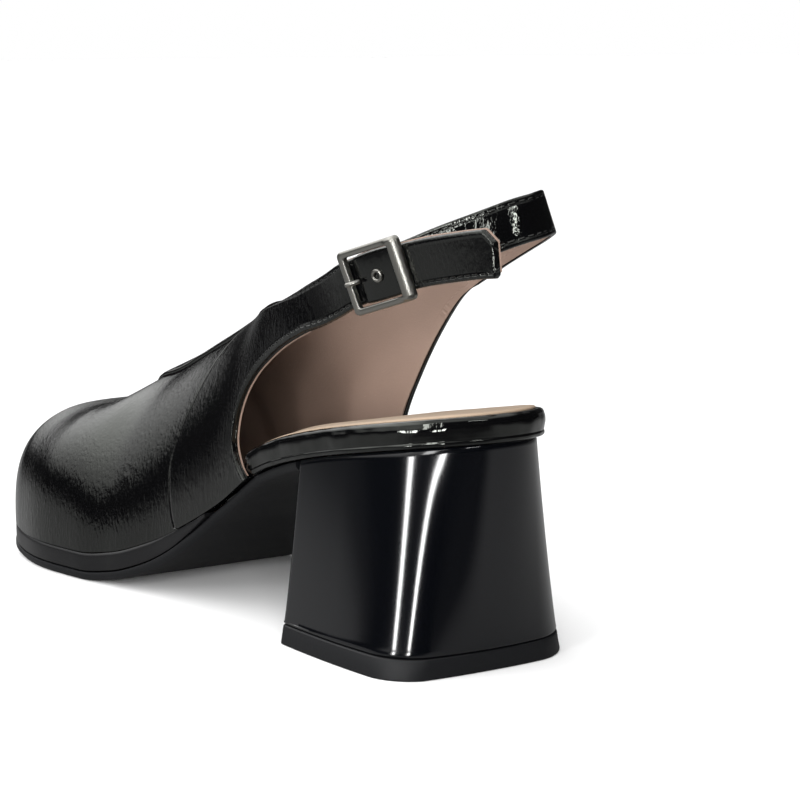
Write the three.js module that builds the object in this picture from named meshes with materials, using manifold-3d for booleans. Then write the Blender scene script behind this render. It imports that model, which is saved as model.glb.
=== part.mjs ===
// Closed-toe slingback pump with a flared block heel, left foot. Millimetres.
// +X points to the toe, +Y to the outer side of the foot, +Z up, and the ground is z = 0.
// It is worked out from the ground under the rearmost point of the heel seat, and then moved so
// that the origin is the middle of the heel's face on the ground.
import * as THREE from 'three';
import { mergeVertices } from 'three/addons/utils/BufferGeometryUtils.js';
import Module from 'manifold-3d';

const wasm = await Module();
wasm.setup();

// Driving sizes of the last
const soleLength = 243;
const seatWidth = 58;
const ballWidth = 77;
const seatHeight = 63.2;
const instepHeight = 68;
const toeHeight = 40.5;
const toeSpring = 6;
const ridgeOffset = 5;

// Upper
const wallThickness = 1.6;
const overlayStep = 1.3;
const waistInset = 0.8;
const toeInset = -0.9;

// Sole
const bandThickness = 6.2;
const outsoleThickness = 2.8;
const rimHeight = 7.6;
const forepartBoard = 4;
const edgeProud = 0.8;
const rimRound = 1;
const seatDish = 0.6;
const sockThickness = 0.9;
const sockInset = 2.4;
const soleWaistInset = 1.5;
const gap = 0.3;

// Heel
const heelDepth = 58;
const heelWidth = 63.7;
const heelSetForward = 5.2;
const heelShift = 1.9;
const heelCornerRadius = 16;
const heelBreastChamfer = 2;
const heelRearCrown = 2.2;
const heelSideCrown = 1.1;
const heelTopDepth = 60;
const heelTopInset = 1.3;
const heelFlare = 1.25;
const liftHeight = 5.8;

// Straps and buckle
const strapWidth = 12.8;
const strapThickness = 2.6;
const slingWidth = 12.4;
const slingThickness = 2;
const tipChamfer = 3.2;
const frameLength = 22;
const frameThickness = 2;
const frameSlack = 0.7;
const frontBar = 2.8;
const rearBar = 3.6;
const sideBar = 1.9;
const frameCorner = 2;
const prongRadius = 0.8;
const eyeletRadius = 1.9;
const eyeletHeight = 0.9;

// Height of everything under the feather line where the forefoot lies flat.
const forepartStack = bandThickness + gap + outsoleThickness;

// Feather line, where the upper meets the sole: share of the heel's rise and of the toe spring.
const featherRows = [
  { at: 0, rise: 1, spring: 0 },
  { at: 0.12, rise: 0.922, spring: 0 },
  { at: 0.24, rise: 0.816, spring: 0 },
  { at: 0.34, rise: 0.679, spring: 0 },
  { at: 0.42, rise: 0.466, spring: 0 },
  { at: 0.5, rise: 0.282, spring: 0 },
  { at: 0.58, rise: 0.13, spring: 0 },
  { at: 0.65, rise: 0.034, spring: 0 },
  { at: 0.71, rise: 0, spring: 0 },
  { at: 0.85, rise: 0, spring: 0 },
  { at: 0.9, rise: 0, spring: 0.1 },
  { at: 0.95, rise: 0, spring: 0.42 },
  { at: 1, rise: 0, spring: 1 },
];

// Sole outline: distance of each edge from the centre line, as shares of the width there.
const outlineRows = [
  { at: 0, lateral: 0, medial: 0 },
  { at: 0.03, lateral: 0.286, medial: 0.286 },
  { at: 0.08, lateral: 0.429, medial: 0.429 },
  { at: 0.15, lateral: 0.5, medial: 0.5 },
  { at: 0.25, lateral: 0.518, medial: 0.491 },
  { at: 0.35, lateral: 0.489, medial: 0.428 },
  { at: 0.45, lateral: 0.454, medial: 0.362 },
  { at: 0.55, lateral: 0.438, medial: 0.372 },
  { at: 0.65, lateral: 0.475, medial: 0.435 },
  { at: 0.72, lateral: 0.519, medial: 0.466 },
  { at: 0.8, lateral: 0.542, medial: 0.46 },
  { at: 0.88, lateral: 0.508, medial: 0.424 },
  { at: 0.94, lateral: 0.437, medial: 0.343 },
  { at: 0.98, lateral: 0.292, medial: 0.217 },
  { at: 1, lateral: 0.039, medial: -0.039 },
];

// Top line of the last over the feather line, as shares of the instep and toe heights.
// The rows behind the throat stand for the leg, so that the quarters lean in towards the ankle.
const topRows = [
  { at: 0, instep: 1.28, toe: 0 },
  { at: 0.15, instep: 1.35, toe: 0 },
  { at: 0.27, instep: 1.2, toe: 0 },
  { at: 0.38, instep: 0.97, toe: 0 },
  { at: 0.46, instep: 0.905, toe: 0 },
  { at: 0.54, instep: 0.915, toe: 0 },
  { at: 0.62, instep: 0.897, toe: 0 },
  { at: 0.7, instep: 0.5, toe: 0.56 },
  { at: 0.78, instep: 0, toe: 1.086 },
  { at: 0.84, instep: 0, toe: 1.025 },
  { at: 0.9, instep: 0, toe: 0.99 },
];
const toeStart = 0.9;
const toeDrop = 0.21;
const toeRoundness = 2.36;

// Fullness of the section: 2 is an ellipse, more is squarer.
const fullnessRows = [
  { at: 0, fullness: 2.6 },
  { at: 0.25, fullness: 2.6 },
  { at: 0.45, fullness: 1.95 },
  { at: 0.65, fullness: 1.9 },
  { at: 0.8, fullness: 3 },
  { at: 1, fullness: 3 },
];

// The ridge over the instep and big toe, towards the medial side, as shares of ridgeOffset.
const ridgeRows = [
  { at: 0, medial: 0 },
  { at: 0.3, medial: 0 },
  { at: 0.5, medial: 0.77 },
  { at: 0.7, medial: 0.97 },
  { at: 0.9, medial: 1.14 },
  { at: 1, medial: 1.14 },
];

// How far the sock's middle stands over its edge, in millimetres.
const sockRows = [
  { at: 0, crown: 0 },
  { at: 0.15, crown: 0.3 },
  { at: 0.33, crown: 1.7 },
  { at: 0.5, crown: 0.9 },
  { at: 1, crown: 0.5 },
];

// How much of the band's full thickness is there; it fades out towards the waist.
const bandRows = [
  { at: 0.4, share: 0 },
  { at: 0.44, share: 0.15 },
  { at: 0.48, share: 0.5 },
  { at: 0.53, share: 0.85 },
  { at: 0.6, share: 1 },
  { at: 1, share: 1 },
];
const bandStart = 0.45;

// Cut lines of the upper, seen from the side: share of the length, and height over the feather
// line as a share of the instep height. Each runs from the front or the bottom to the strap.
const lateralRear = [
  { at: 0.353, up: -0.124 },
  { at: 0.358, up: -0.026 },
  { at: 0.377, up: 0.102 },
  { at: 0.389, up: 0.263 },
  { at: 0.374, up: 0.406 },
  { at: 0.317, up: 0.47 },
  { at: 0.242, up: 0.518 },
  { at: 0.198, up: 0.54 },
];
const lateralTop = [
  { at: 0.477, up: 0.95 },
  { at: 0.444, up: 0.869 },
  { at: 0.416, up: 0.823 },
  { at: 0.37, up: 0.76 },
  { at: 0.309, up: 0.711 },
  { at: 0.249, up: 0.707 },
  { at: 0.198, up: 0.742 },
];
const medialRear = [
  { at: 0.353, up: -0.124 },
  { at: 0.352, up: 0.08 },
  { at: 0.337, up: 0.204 },
  { at: 0.313, up: 0.326 },
  { at: 0.282, up: 0.461 },
  { at: 0.251, up: 0.564 },
  { at: 0.222, up: 0.631 },
  { at: 0.189, up: 0.67 },
];
const medialTop = [
  { at: 0.477, up: 0.95 },
  { at: 0.444, up: 0.81 },
  { at: 0.403, up: 0.745 },
  { at: 0.35, up: 0.725 },
  { at: 0.288, up: 0.76 },
  { at: 0.239, up: 0.815 },
  { at: 0.189, up: 0.862 },
];
// Front edges of the two quarters, where they lie over the vamp.
const lateralSeam = [
  { at: 0.514, up: -0.06 },
  { at: 0.529, up: 0.089 },
  { at: 0.54, up: 0.259 },
  { at: 0.542, up: 0.365 },
  { at: 0.535, up: 0.489 },
  { at: 0.526, up: 0.578 },
  { at: 0.519, up: 0.683 },
  { at: 0.511, up: 0.778 },
  { at: 0.494, up: 0.857 },
  { at: 0.477, up: 0.95 },
];
const medialSeam = [
  { at: 0.76, up: -0.063 },
  { at: 0.77, up: 0.15 },
  { at: 0.773, up: 0.35 },
  { at: 0.768, up: 0.5 },
  { at: 0.758, up: 0.62 },
  { at: 0.748, up: 0.75 },
  { at: 0.743, up: 1.1 },
];
// Where the medial quarter reaches over the ridge, seen from above: shares of the sole length and
// of the ball width, from the vamp to the throat.
const medialReach = [
  { at: 0.747, across: -0.06 },
  { at: 0.744, across: 0.04 },
  { at: 0.733, across: 0.095 },
  { at: 0.7, across: 0.115 },
  { at: 0.65, across: 0.108 },
  { at: 0.6, across: 0.1 },
  { at: 0.53, across: 0.1 },
  { at: 0.477, across: 0.105 },
];

// Centre lines of the straps: shares of the sole length, the seat width and the instep height
// over the feather line. lean tips the upper edge inwards, in degrees.
const slingPath = [
  { along: 0.247, across: -0.448, up: 0.7, lean: 6 },
  { along: 0.206, across: -0.446, up: 0.751, lean: 7 },
  { along: 0.156, across: -0.432, up: 0.799, lean: 10 },
  { along: 0.099, across: -0.396, up: 0.844, lean: 13 },
  { along: 0.049, across: -0.341, up: 0.877, lean: 16 },
  { along: 0.012, across: -0.259, up: 0.894, lean: 18 },
  { along: -0.006, across: -0.138, up: 0.882, lean: 18 },
  { along: -0.006, across: -0.017, up: 0.862, lean: 16 },
  { along: 0.019, across: 0.112, up: 0.818, lean: 12 },
  { along: 0.049, across: 0.23, up: 0.776, lean: 4 },
  { along: 0.082, across: 0.334, up: 0.732, lean: -7 },
  { along: 0.113, across: 0.387, up: 0.706, lean: -9 },
];
const strapPath = [
  { along: -0.058, across: 0.248, up: 0.765, lean: 0 },
  { along: -0.033, across: 0.277, up: 0.756, lean: -3 },
  { along: 0, across: 0.307, up: 0.738, lean: -6 },
  { along: 0.041, across: 0.34, up: 0.731, lean: -9 },
  { along: 0.082, across: 0.379, up: 0.716, lean: -9 },
  { along: 0.115, across: 0.415, up: 0.7, lean: -9 },
  { along: 0.15, across: 0.45, up: 0.68, lean: -9 },
  { along: 0.177, across: 0.458, up: 0.653, lean: -5 },
  { along: 0.206, across: 0.463, up: 0.631, lean: 2 },
  { along: 0.255, across: 0.473, up: 0.607, lean: 5 },
];
// Where the middle of the buckle lies along the rows of strapPath.
const buckleAt = 0.515;

const colours = {
  patent: 0x0b0b0d,
  band: 0x17171a,
  rubber: 0x1b1b1d,
  lacquer: 0x08090c,
  sock: 0xa98a74,
  metal: 0x8f8d88,
};

// Monotone cubic through the rows of a table, read by one column.
function tableCurve(rows, column, key = 'at') {
  const xs = rows.map((row) => row[key]);
  const ys = rows.map((row) => row[column]);
  return monotone(xs, ys);
}

function monotone(xs, ys) {
  const last = xs.length - 1;
  const step = xs.slice(1).map((x, i) => x - xs[i]);
  const slope = step.map((h, i) => (ys[i + 1] - ys[i]) / h);
  const tangent = ys.map((y, i) => {
    if (i === 0) return endTangent(step[0], step[1], slope[0], slope[1]);
    if (i === last) return endTangent(step[last - 1], step[last - 2], slope[last - 1], slope[last - 2]);
    if (slope[i - 1] * slope[i] <= 0) return 0;
    const a = 2 * step[i] + step[i - 1];
    const b = step[i] + 2 * step[i - 1];
    return (a + b) / (a / slope[i - 1] + b / slope[i]);
  });
  return (x) => {
    const held = THREE.MathUtils.clamp(x, xs[0], xs[last]);
    let i = 0;
    while (i < last - 1 && held > xs[i + 1]) i += 1;
    const h = step[i];
    const t = (held - xs[i]) / h;
    const t2 = t * t;
    const t3 = t2 * t;
    return (2 * t3 - 3 * t2 + 1) * ys[i] + (t3 - 2 * t2 + t) * h * tangent[i]
      + (3 * t2 - 2 * t3) * ys[i + 1] + (t3 - t2) * h * tangent[i + 1];
  };
}

function endTangent(near, far, nearSlope, farSlope) {
  const m = ((2 * near + far) * nearSlope - near * farSlope) / (near + far);
  if (m * nearSlope <= 0) return 0;
  if (nearSlope * farSlope <= 0 && Math.abs(m) > 3 * Math.abs(nearSlope)) return 3 * nearSlope;
  return m;
}

// The outline is read by an angle, so that both ends of the sole come out round.
const angleOf = (at) => Math.acos(1 - 2 * THREE.MathUtils.clamp(at, 0, 1));
const shareAt = (angle) => (1 - Math.cos(angle)) / 2;
const outlineByAngle = {};
for (const side of ['lateral', 'medial']) {
  outlineByAngle[side] = monotone(outlineRows.map((row) => angleOf(row.at)), outlineRows.map((row) => row[side]));
}
const rise = tableCurve(featherRows, 'rise');
const spring = tableCurve(featherRows, 'spring');
const instepShare = tableCurve(topRows, 'instep');
const toeShare = tableCurve(topRows, 'toe');
const fullnessAt = tableCurve(fullnessRows, 'fullness');
const ridgeShare = tableCurve(ridgeRows, 'medial');
const bandShare = tableCurve(bandRows, 'share');
const crownAt = tableCurve(sockRows, 'crown');

const featherAt = (at) => forepartStack + (seatHeight - forepartStack) * rise(at) + toeSpring * spring(at);
const bandDepth = (at) => bandThickness * bandShare(at);
const widthAt = (at) => THREE.MathUtils.lerp(seatWidth, ballWidth, THREE.MathUtils.smoothstep(at, 0.3, 0.65));

// How far the upper stands in from the sole's edge; over the toe box it stands out a little.
const featherInset = (at) => THREE.MathUtils.lerp(waistInset, toeInset, THREE.MathUtils.smoothstep(at, 0.5, 0.75));

// A point of the sole outline, moved outwards along its own normal.
function edgePoint(angle, side, outward) {
  const sign = side === 'lateral' ? 1 : -1;
  const raw = (a) => {
    const at = shareAt(a);
    return new THREE.Vector2(at * soleLength, sign * widthAt(at) * outlineByAngle[side](a));
  };
  const nudge = 0.004;
  const from = raw(Math.max(angle - nudge, 0));
  const to = raw(Math.min(angle + nudge, Math.PI));
  const run = to.sub(from).normalize();
  const normal = new THREE.Vector2(-run.y * sign, run.x * sign);
  if (angle < nudge) normal.set(-1, 0);
  if (angle > Math.PI - nudge) normal.set(1, 0);
  return raw(angle).addScaledVector(normal, outward);
}

// A point on the last, grown outwards: round 0 is the feather line, 1 the ridge on top.
function lastPoint(angle, side, round, grow) {
  const at = shareAt(angle);
  const inset = grow - wallThickness - featherInset(at);
  const foot = edgePoint(angle, side, inset);
  const intoToe = THREE.MathUtils.clamp((at - toeStart) / (1 - toeStart), 0, 1);
  const cap = (1 - intoToe ** toeRoundness) ** (1 / toeRoundness);
  const endRound = Math.sqrt(1 - intoToe * intoToe);
  const tip = edgePoint(Math.PI, 'lateral', 0).y;
  const ridgeY = THREE.MathUtils.lerp(tip, -ridgeOffset * ridgeShare(at), endRound);
  const ridgeX = at * soleLength + inset * (1 - endRound);
  const full = instepHeight * instepShare(at) + toeHeight * (toeShare(at) - toeDrop * intoToe);
  const height = (full + grow - wallThickness) * cap;
  const power = 2 / fullnessAt(at);
  const quarter = round * Math.PI / 2;
  const spread = Math.max(Math.cos(quarter), 0) ** power;
  const lift = Math.sin(quarter) ** power;
  return new THREE.Vector3(
    ridgeX + (foot.x - ridgeX) * spread,
    ridgeY + (foot.y - ridgeY) * spread,
    featherAt(at) + height * lift,
  );
}

// Turns points and triangles into a solid whose shared vertices are merged.
function solidFrom(points, triangles) {
  const geometry = new THREE.BufferGeometry();
  const flat = points.flatMap((p) => [p.x, p.y, p.z]);
  geometry.setAttribute('position', new THREE.Float32BufferAttribute(flat, 3));
  geometry.setIndex(triangles.flat());
  return toSolid(geometry);
}

function toSolid(geometry) {
  const bare = geometry.clone();
  bare.deleteAttribute('normal');
  bare.deleteAttribute('uv');
  const merged = mergeVertices(bare, 1e-4);
  const index = merged.index.array;
  const kept = [];
  for (let i = 0; i < index.length; i += 3) {
    const [a, b, c] = index.slice(i, i + 3);
    if (a !== b && b !== c && c !== a) kept.push(a, b, c);
  }
  return new wasm.Manifold(new wasm.Mesh({
    numProp: 3,
    vertProperties: new Float32Array(merged.attributes.position.array),
    triVerts: new Uint32Array(kept),
  }));
}

function fromSolid(solid) {
  const mesh = solid.getMesh();
  const geometry = new THREE.BufferGeometry();
  geometry.setAttribute('position', new THREE.Float32BufferAttribute(mesh.vertProperties, 3));
  geometry.setIndex(new THREE.Uint32BufferAttribute(mesh.triVerts, 1));
  geometry.computeVertexNormals();
  return geometry;
}

// A closed body from rings that all run the same way, bottom to top, counterclockwise from above.
// The first half of a ring runs forwards and the second half back, so its ends close as strips.
function ringBody(rings) {
  const count = rings[0].length;
  const triangles = [];
  for (let r = 0; r + 1 < rings.length; r += 1) {
    for (let i = 0; i < count; i += 1) {
      const a = r * count + i;
      const b = r * count + (i + 1) % count;
      triangles.push([a, b, b + count], [a, b + count, a + count]);
    }
  }
  const top = (rings.length - 1) * count;
  for (let i = 0; i < count / 2 - 1; i += 1) {
    const across = count - 1 - i;
    triangles.push([i, across, across - 1], [i, across - 1, i + 1]);
    triangles.push([top + i, top + across - 1, top + across], [top + i, top + i + 1, top + across - 1]);
  }
  return solidFrom(rings.flat(), triangles);
}

// A closed body from sections with equal numbers of corners, listed clockwise as the path runs away.
function sectionBody(sections) {
  const count = sections[0].length;
  const triangles = [];
  for (let s = 0; s + 1 < sections.length; s += 1) {
    for (let i = 0; i < count; i += 1) {
      const a = s * count + i;
      const b = s * count + (i + 1) % count;
      triangles.push([a, b, b + count], [a, b + count, a + count]);
    }
  }
  const end = (sections.length - 1) * count;
  for (let i = 1; i < count - 1; i += 1) {
    triangles.push([0, i + 1, i], [end, end + i, end + i + 1]);
  }
  return solidFrom(sections.flat(), triangles);
}

// Angles of the stations between two shares of the length, a little short of a round end.
const endAngle = 0.06;
function stations(fromAt, toAt, steps, extra = []) {
  const first = Math.max(angleOf(fromAt), endAngle);
  const last = Math.min(angleOf(toAt), Math.PI - endAngle);
  const angles = Array.from({ length: steps + 1 }, (_, i) => THREE.MathUtils.lerp(first, last, i / steps));
  return [...angles, ...extra.map(angleOf)].sort((a, b) => a - b);
}

// One ring of a sole layer: the medial edge forwards, then the lateral edge back.
function soleRing(angles, outwardAt, heightAt) {
  const point = (angle, side) => {
    const edge = edgePoint(angle, side, outwardAt(shareAt(angle), side));
    return new THREE.Vector3(edge.x, edge.y, heightAt(edge.x / soleLength));
  };
  const forwards = angles.map((angle) => point(angle, 'medial'));
  const back = [...angles].reverse().map((angle) => point(angle, 'lateral'));
  return [...forwards, ...back];
}

// A sole layer from rows of an edge profile: how far in from the edge, and how far up through it.
function soleLayer(angles, outwardAt, bottomAt, topAt, profile) {
  return ringBody(profile.map(({ inset, level }) => soleRing(
    angles,
    (at, side) => outwardAt(at, side, level) - inset,
    (at) => THREE.MathUtils.lerp(bottomAt(at), topAt(at), level),
  )));
}

// The rim of the seat ends at the back edge of each quarter, and inside the upper the board is
// narrower. The lateral edge leans, so there the rim ends further forward at its top.
const rimStep = 0.008;
const rimEnd = {
  lateral: { low: 0.348, high: 0.368 },
  medial: { low: 0.3465, high: 0.3465 },
};
const rimStations = Object.values(rimEnd).flatMap(({ low, high }) => [low - rimStep, low, high - rimStep, high]);
const boardThickness = (at) => THREE.MathUtils.lerp(
  rimHeight,
  forepartBoard,
  THREE.MathUtils.smoothstep(at, 0.36, 0.47),
);
const insideUpper = (at) => -(featherInset(at) + wallThickness + 0.4);
function besideStep(at, side, level, open, inside) {
  const end = THREE.MathUtils.lerp(rimEnd[side].low, rimEnd[side].high, level);
  return THREE.MathUtils.lerp(open, inside, THREE.MathUtils.smoothstep(at, end - rimStep, end));
}

const dishLevel = 1 - seatDish / rimHeight;
const boardEdge = (at, side, level) => besideStep(at, side, level, edgeProud, insideUpper(at));

function insoleBoard() {
  return soleLayer(
    stations(0, 1, 30, rimStations),
    boardEdge,
    featherAt,
    (at) => featherAt(at) + boardThickness(at),
    [
      { inset: 0.5, level: 0 },
      { inset: 0, level: 0.1 },
      { inset: 0, level: 0.85 },
      { inset: rimRound, level: 1 },
      { inset: sockInset - gap, level: dishLevel },
    ],
  );
}

function sock() {
  return ringBody([
    { inset: 0, thick: 0, crown: 0 },
    { inset: 0, thick: 0.5, crown: 0 },
    { inset: 1.2, thick: 1, crown: 0 },
    { inset: 9, thick: 1, crown: 1 },
  ].map(({ inset, thick, crown }) => soleRing(
    stations(0, 1, 26, rimStations),
    (at, side) => boardEdge(at, side, dishLevel) - sockInset - inset,
    (at) => featherAt(at) + dishLevel * boardThickness(at) + gap + thick * sockThickness + crown * crownAt(at),
  )));
}

const undersideAt = (at) => featherAt(at) - bandDepth(at) - gap;

function platformBand() {
  return soleLayer(
    stations(bandStart, 1, 30),
    () => edgeProud,
    (at) => featherAt(at) - bandDepth(at),
    (at) => featherAt(at) - gap,
    [{ inset: 0.3, level: 0 }, { inset: 0, level: 0.1 }, { inset: 0, level: 0.85 }, { inset: 0.6, level: 1 }],
  );
}

function outsole() {
  return soleLayer(
    stations((heelTopDepth + 1.2) / soleLength, 1, 34),
    (at) => THREE.MathUtils.lerp(-soleWaistInset, edgeProud + 0.2, THREE.MathUtils.smoothstep(at, 0.4, 0.54)),
    (at) => undersideAt(at) - outsoleThickness,
    undersideAt,
    [{ inset: 1.6, level: 0 }, { inset: 0, level: 0.4 }, { inset: 0, level: 0.9 }, { inset: 0.4, level: 1 }],
  );
}

// Spreads a number of points evenly along a line of corners.
function resample(corners, count) {
  const lengths = [0];
  for (let i = 1; i < corners.length; i += 1) {
    lengths.push(lengths[i - 1] + corners[i].distanceTo(corners[i - 1]));
  }
  const total = lengths[lengths.length - 1];
  return Array.from({ length: count }, (_, k) => {
    const target = total * k / (count - 1);
    let i = 1;
    while (i < corners.length - 1 && lengths[i] < target) i += 1;
    const t = (target - lengths[i - 1]) / (lengths[i] - lengths[i - 1]);
    return corners[i - 1].clone().lerp(corners[i], t);
  });
}

const heelPoints = 52;

// The heel's foot on the ground, from the medial breast corner round the back to the lateral one.
function heelBasePath() {
  const front = heelSetForward + heelDepth;
  const half = heelWidth / 2;
  const corners = [new THREE.Vector2(front, heelBreastChamfer - half)];
  const addArc = (side, fromAngle, toAngle) => {
    const centre = new THREE.Vector2(heelSetForward + heelCornerRadius, side * (half - heelCornerRadius));
    for (let k = 0; k <= 8; k += 1) {
      const angle = THREE.MathUtils.lerp(fromAngle, toAngle, k / 8);
      corners.push(new THREE.Vector2(Math.cos(angle), Math.sin(angle)).multiplyScalar(heelCornerRadius).add(centre));
    }
  };
  corners.push(new THREE.Vector2(front - heelBreastChamfer, -half));
  addArc(-1, -Math.PI / 2, -Math.PI);
  addArc(1, Math.PI, Math.PI / 2);
  corners.push(new THREE.Vector2(front - heelBreastChamfer, half), new THREE.Vector2(front, half - heelBreastChamfer));
  return resample(corners, heelPoints).map((p) => {
    const acrossShare = p.y / half;
    const alongShare = 2 * (p.x - heelSetForward) / heelDepth - 1;
    const backShare = THREE.MathUtils.clamp((front - p.x) / heelDepth, 0, 1);
    const x = p.x - heelRearCrown * (1 - acrossShare ** 2) * backShare ** 2;
    const y = p.y + heelSideCrown * (1 - alongShare ** 2) * acrossShare + heelShift;
    return new THREE.Vector2(x, y);
  });
}

// The heel's top, which follows the seat just inside its rim.
function heelTopPath() {
  const last = angleOf((heelTopDepth - heelBreastChamfer) / soleLength);
  const corners = [];
  for (let k = -24; k <= 24; k += 1) {
    const side = k < 0 ? 'medial' : 'lateral';
    corners.push(edgePoint(last * Math.abs(k) / 24, side, -heelTopInset));
  }
  const breast = (p) => new THREE.Vector2(heelTopDepth, p.y - Math.sign(p.y) * heelBreastChamfer);
  return resample([breast(corners[0]), ...corners, breast(corners[corners.length - 1])], heelPoints);
}

// A level ring through the heel; share 0 is the ground and 1 the seat.
function heelRing(share) {
  const base = heelBasePath();
  const top = heelTopPath();
  const spread = share ** (1 / heelFlare);
  const path = base.map((p, i) => {
    const flat = p.clone().lerp(top[i], spread);
    const seat = featherAt(top[i].x / soleLength) - gap;
    return new THREE.Vector3(flat.x, flat.y, seat * share);
  });
  const half = heelPoints / 2;
  return [...path.slice(0, half).reverse(), ...path.slice(half).reverse()];
}

const levelled = (ring, height) => ring.map((p) => new THREE.Vector3(p.x, p.y, height));

function heelBlock() {
  const footShare = (liftHeight + gap) / seatHeight;
  const shares = [0.25, 0.45, 0.65, 0.85, 1];
  return ringBody([levelled(heelRing(footShare), liftHeight + gap), ...shares.map(heelRing)]);
}

function heelLift() {
  const topShare = liftHeight / seatHeight;
  return ringBody([levelled(heelRing(0), 0), levelled(heelRing(topShare), liftHeight)]);
}

// A wall between two growths of the last, over the whole ridge from one feather line to the other.
const shellStart = 0.15;
function shell(fromAt, toAt, growIn, growOut, steps, roundSteps) {
  const first = angleOf(fromAt);
  const last = angleOf(toAt);
  const angles = Array.from({ length: steps + 1 }, (_, i) => THREE.MathUtils.lerp(first, last, i / steps));
  const rounds = Array.from({ length: roundSteps + 1 }, (_, i) => i / roundSteps);
  const wall = (grow) => angles.map((angle) => [
    ...rounds.map((round) => lastPoint(angle, 'lateral', round, grow)),
    ...[...rounds].reverse().slice(1).map((round) => lastPoint(angle, 'medial', round, grow)),
  ]);
  const outer = wall(growOut);
  const inner = wall(growIn);
  const rows = angles.length;
  const columns = outer[0].length;
  const out = (i, j) => i * columns + j;
  const into = (i, j) => rows * columns + i * columns + j;
  const triangles = [];
  for (let i = 0; i + 1 < rows; i += 1) {
    for (let j = 0; j + 1 < columns; j += 1) {
      triangles.push([out(i, j), out(i, j + 1), out(i + 1, j + 1)], [out(i, j), out(i + 1, j + 1), out(i + 1, j)]);
      triangles.push([into(i, j), into(i + 1, j + 1), into(i, j + 1)], [into(i, j), into(i + 1, j), into(i + 1, j + 1)]);
    }
    const far = columns - 1;
    triangles.push([out(i, 0), out(i + 1, 0), into(i + 1, 0)], [out(i, 0), into(i + 1, 0), into(i, 0)]);
    triangles.push([out(i + 1, far), out(i, far), into(i, far)], [out(i + 1, far), into(i, far), into(i + 1, far)]);
  }
  for (const i of [0, rows - 1]) {
    for (let j = 0; j + 1 < columns; j += 1) {
      const quad = [[out(i, j), into(i, j), into(i, j + 1)], [out(i, j), into(i, j + 1), out(i, j + 1)]];
      triangles.push(...(i === 0 ? quad : quad.map(([a, b, c]) => [a, c, b])));
    }
  }
  return solidFrom([...outer.flat(), ...inner.flat()], triangles);
}

// A cut line of the upper as points in the side view, smoothed between its rows.
function cutLine(rows) {
  const curve = new THREE.SplineCurve(rows.map((row) => new THREE.Vector2(row.at, row.up)));
  return curve.getPoints((rows.length - 1) * 3).map(sidePoint);
}

function sidePoint({ x: at, y: up }) {
  return new THREE.Vector2(at * soleLength, featherAt(at) + up * instepHeight);
}

// A block with the given outline in the side view, on one side of the ridge.
const wellPast = 1.5 * ballWidth;
const ridgeSplit = -0.8 * ridgeOffset;
function sideBlock(outline, side) {
  const geometry = new THREE.ExtrudeGeometry(new THREE.Shape(outline), {
    depth: wellPast,
    bevelEnabled: false,
    curveSegments: 1,
  });
  geometry.rotateX(Math.PI / 2);
  geometry.translate(0, side === 'lateral' ? ridgeSplit + wellPast : ridgeSplit, 0);
  return toSolid(geometry);
}

// Everything in front of a quarter's back edge and under its top line.
function halfPattern(top, rear, side) {
  const outline = [
    sidePoint({ x: rear[0].at, y: -0.5 }),
    sidePoint({ x: 1.06, y: -0.5 }),
    sidePoint({ x: 1.06, y: 1.6 }),
    sidePoint({ x: top[0].at, y: 1.6 }),
    ...cutLine(top),
    ...cutLine(rear).reverse(),
  ];
  return sideBlock(outline, side);
}

// A quarter alone, from its seam over the vamp to its back edge.
function quarterPattern(seam, top, rear, side) {
  const outline = [
    sidePoint({ x: rear[0].at, y: -0.3 }),
    sidePoint({ x: (rear[0].at + seam[0].at) / 2, y: -0.3 }),
    ...cutLine(seam),
    ...cutLine(top).slice(1),
    ...cutLine(rear).reverse(),
  ];
  return sideBlock(outline, side);
}

const strapPoint = ({ along, across, up }) => new THREE.Vector3(
  along * soleLength,
  across * seatWidth,
  featherAt(along) + up * instepHeight,
);

// Place and directions on a strap: forwards along it, up across it, and out from the foot.
function strapFrame(path, u) {
  const curve = new THREE.CatmullRomCurve3(path.map(strapPoint));
  const centre = curve.getPoint(u);
  const along = curve.getTangent(u);
  const leanAt = monotone(path.map((_, i) => i), path.map((row) => row.lean));
  const lean = THREE.MathUtils.degToRad(leanAt(u * (path.length - 1)));
  const up = new THREE.Vector3(0, 0, 1);
  up.addScaledVector(along, -up.dot(along)).normalize();
  const out = up.clone().cross(along);
  const across = up.clone().multiplyScalar(Math.cos(lean)).addScaledVector(out, -Math.sin(lean));
  const outwards = out.multiplyScalar(Math.cos(lean)).addScaledVector(up, Math.sin(lean));
  return { centre, along, across, outwards, length: curve.getLength() };
}

// A flat strap along its path; its free end, where u is 0, may have cut corners.
function strap(path, width, thickness, steps, chamfer = 0) {
  const { length } = strapFrame(path, 0);
  const shares = Array.from({ length: steps + 1 }, (_, i) => i / steps);
  if (chamfer > 0) shares.splice(1, 0, chamfer / length);
  const sections = shares.map((u, i) => {
    const { centre, across, outwards } = strapFrame(path, u);
    const half = width / 2 - (i === 0 ? chamfer : 0);
    return [[-1, -1], [-1, 1], [1, 1], [1, -1]].map(([side, face]) => centre.clone()
      .addScaledVector(across, side * half)
      .addScaledVector(outwards, face * thickness / 2));
  });
  return sectionBody(sections);
}

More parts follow.
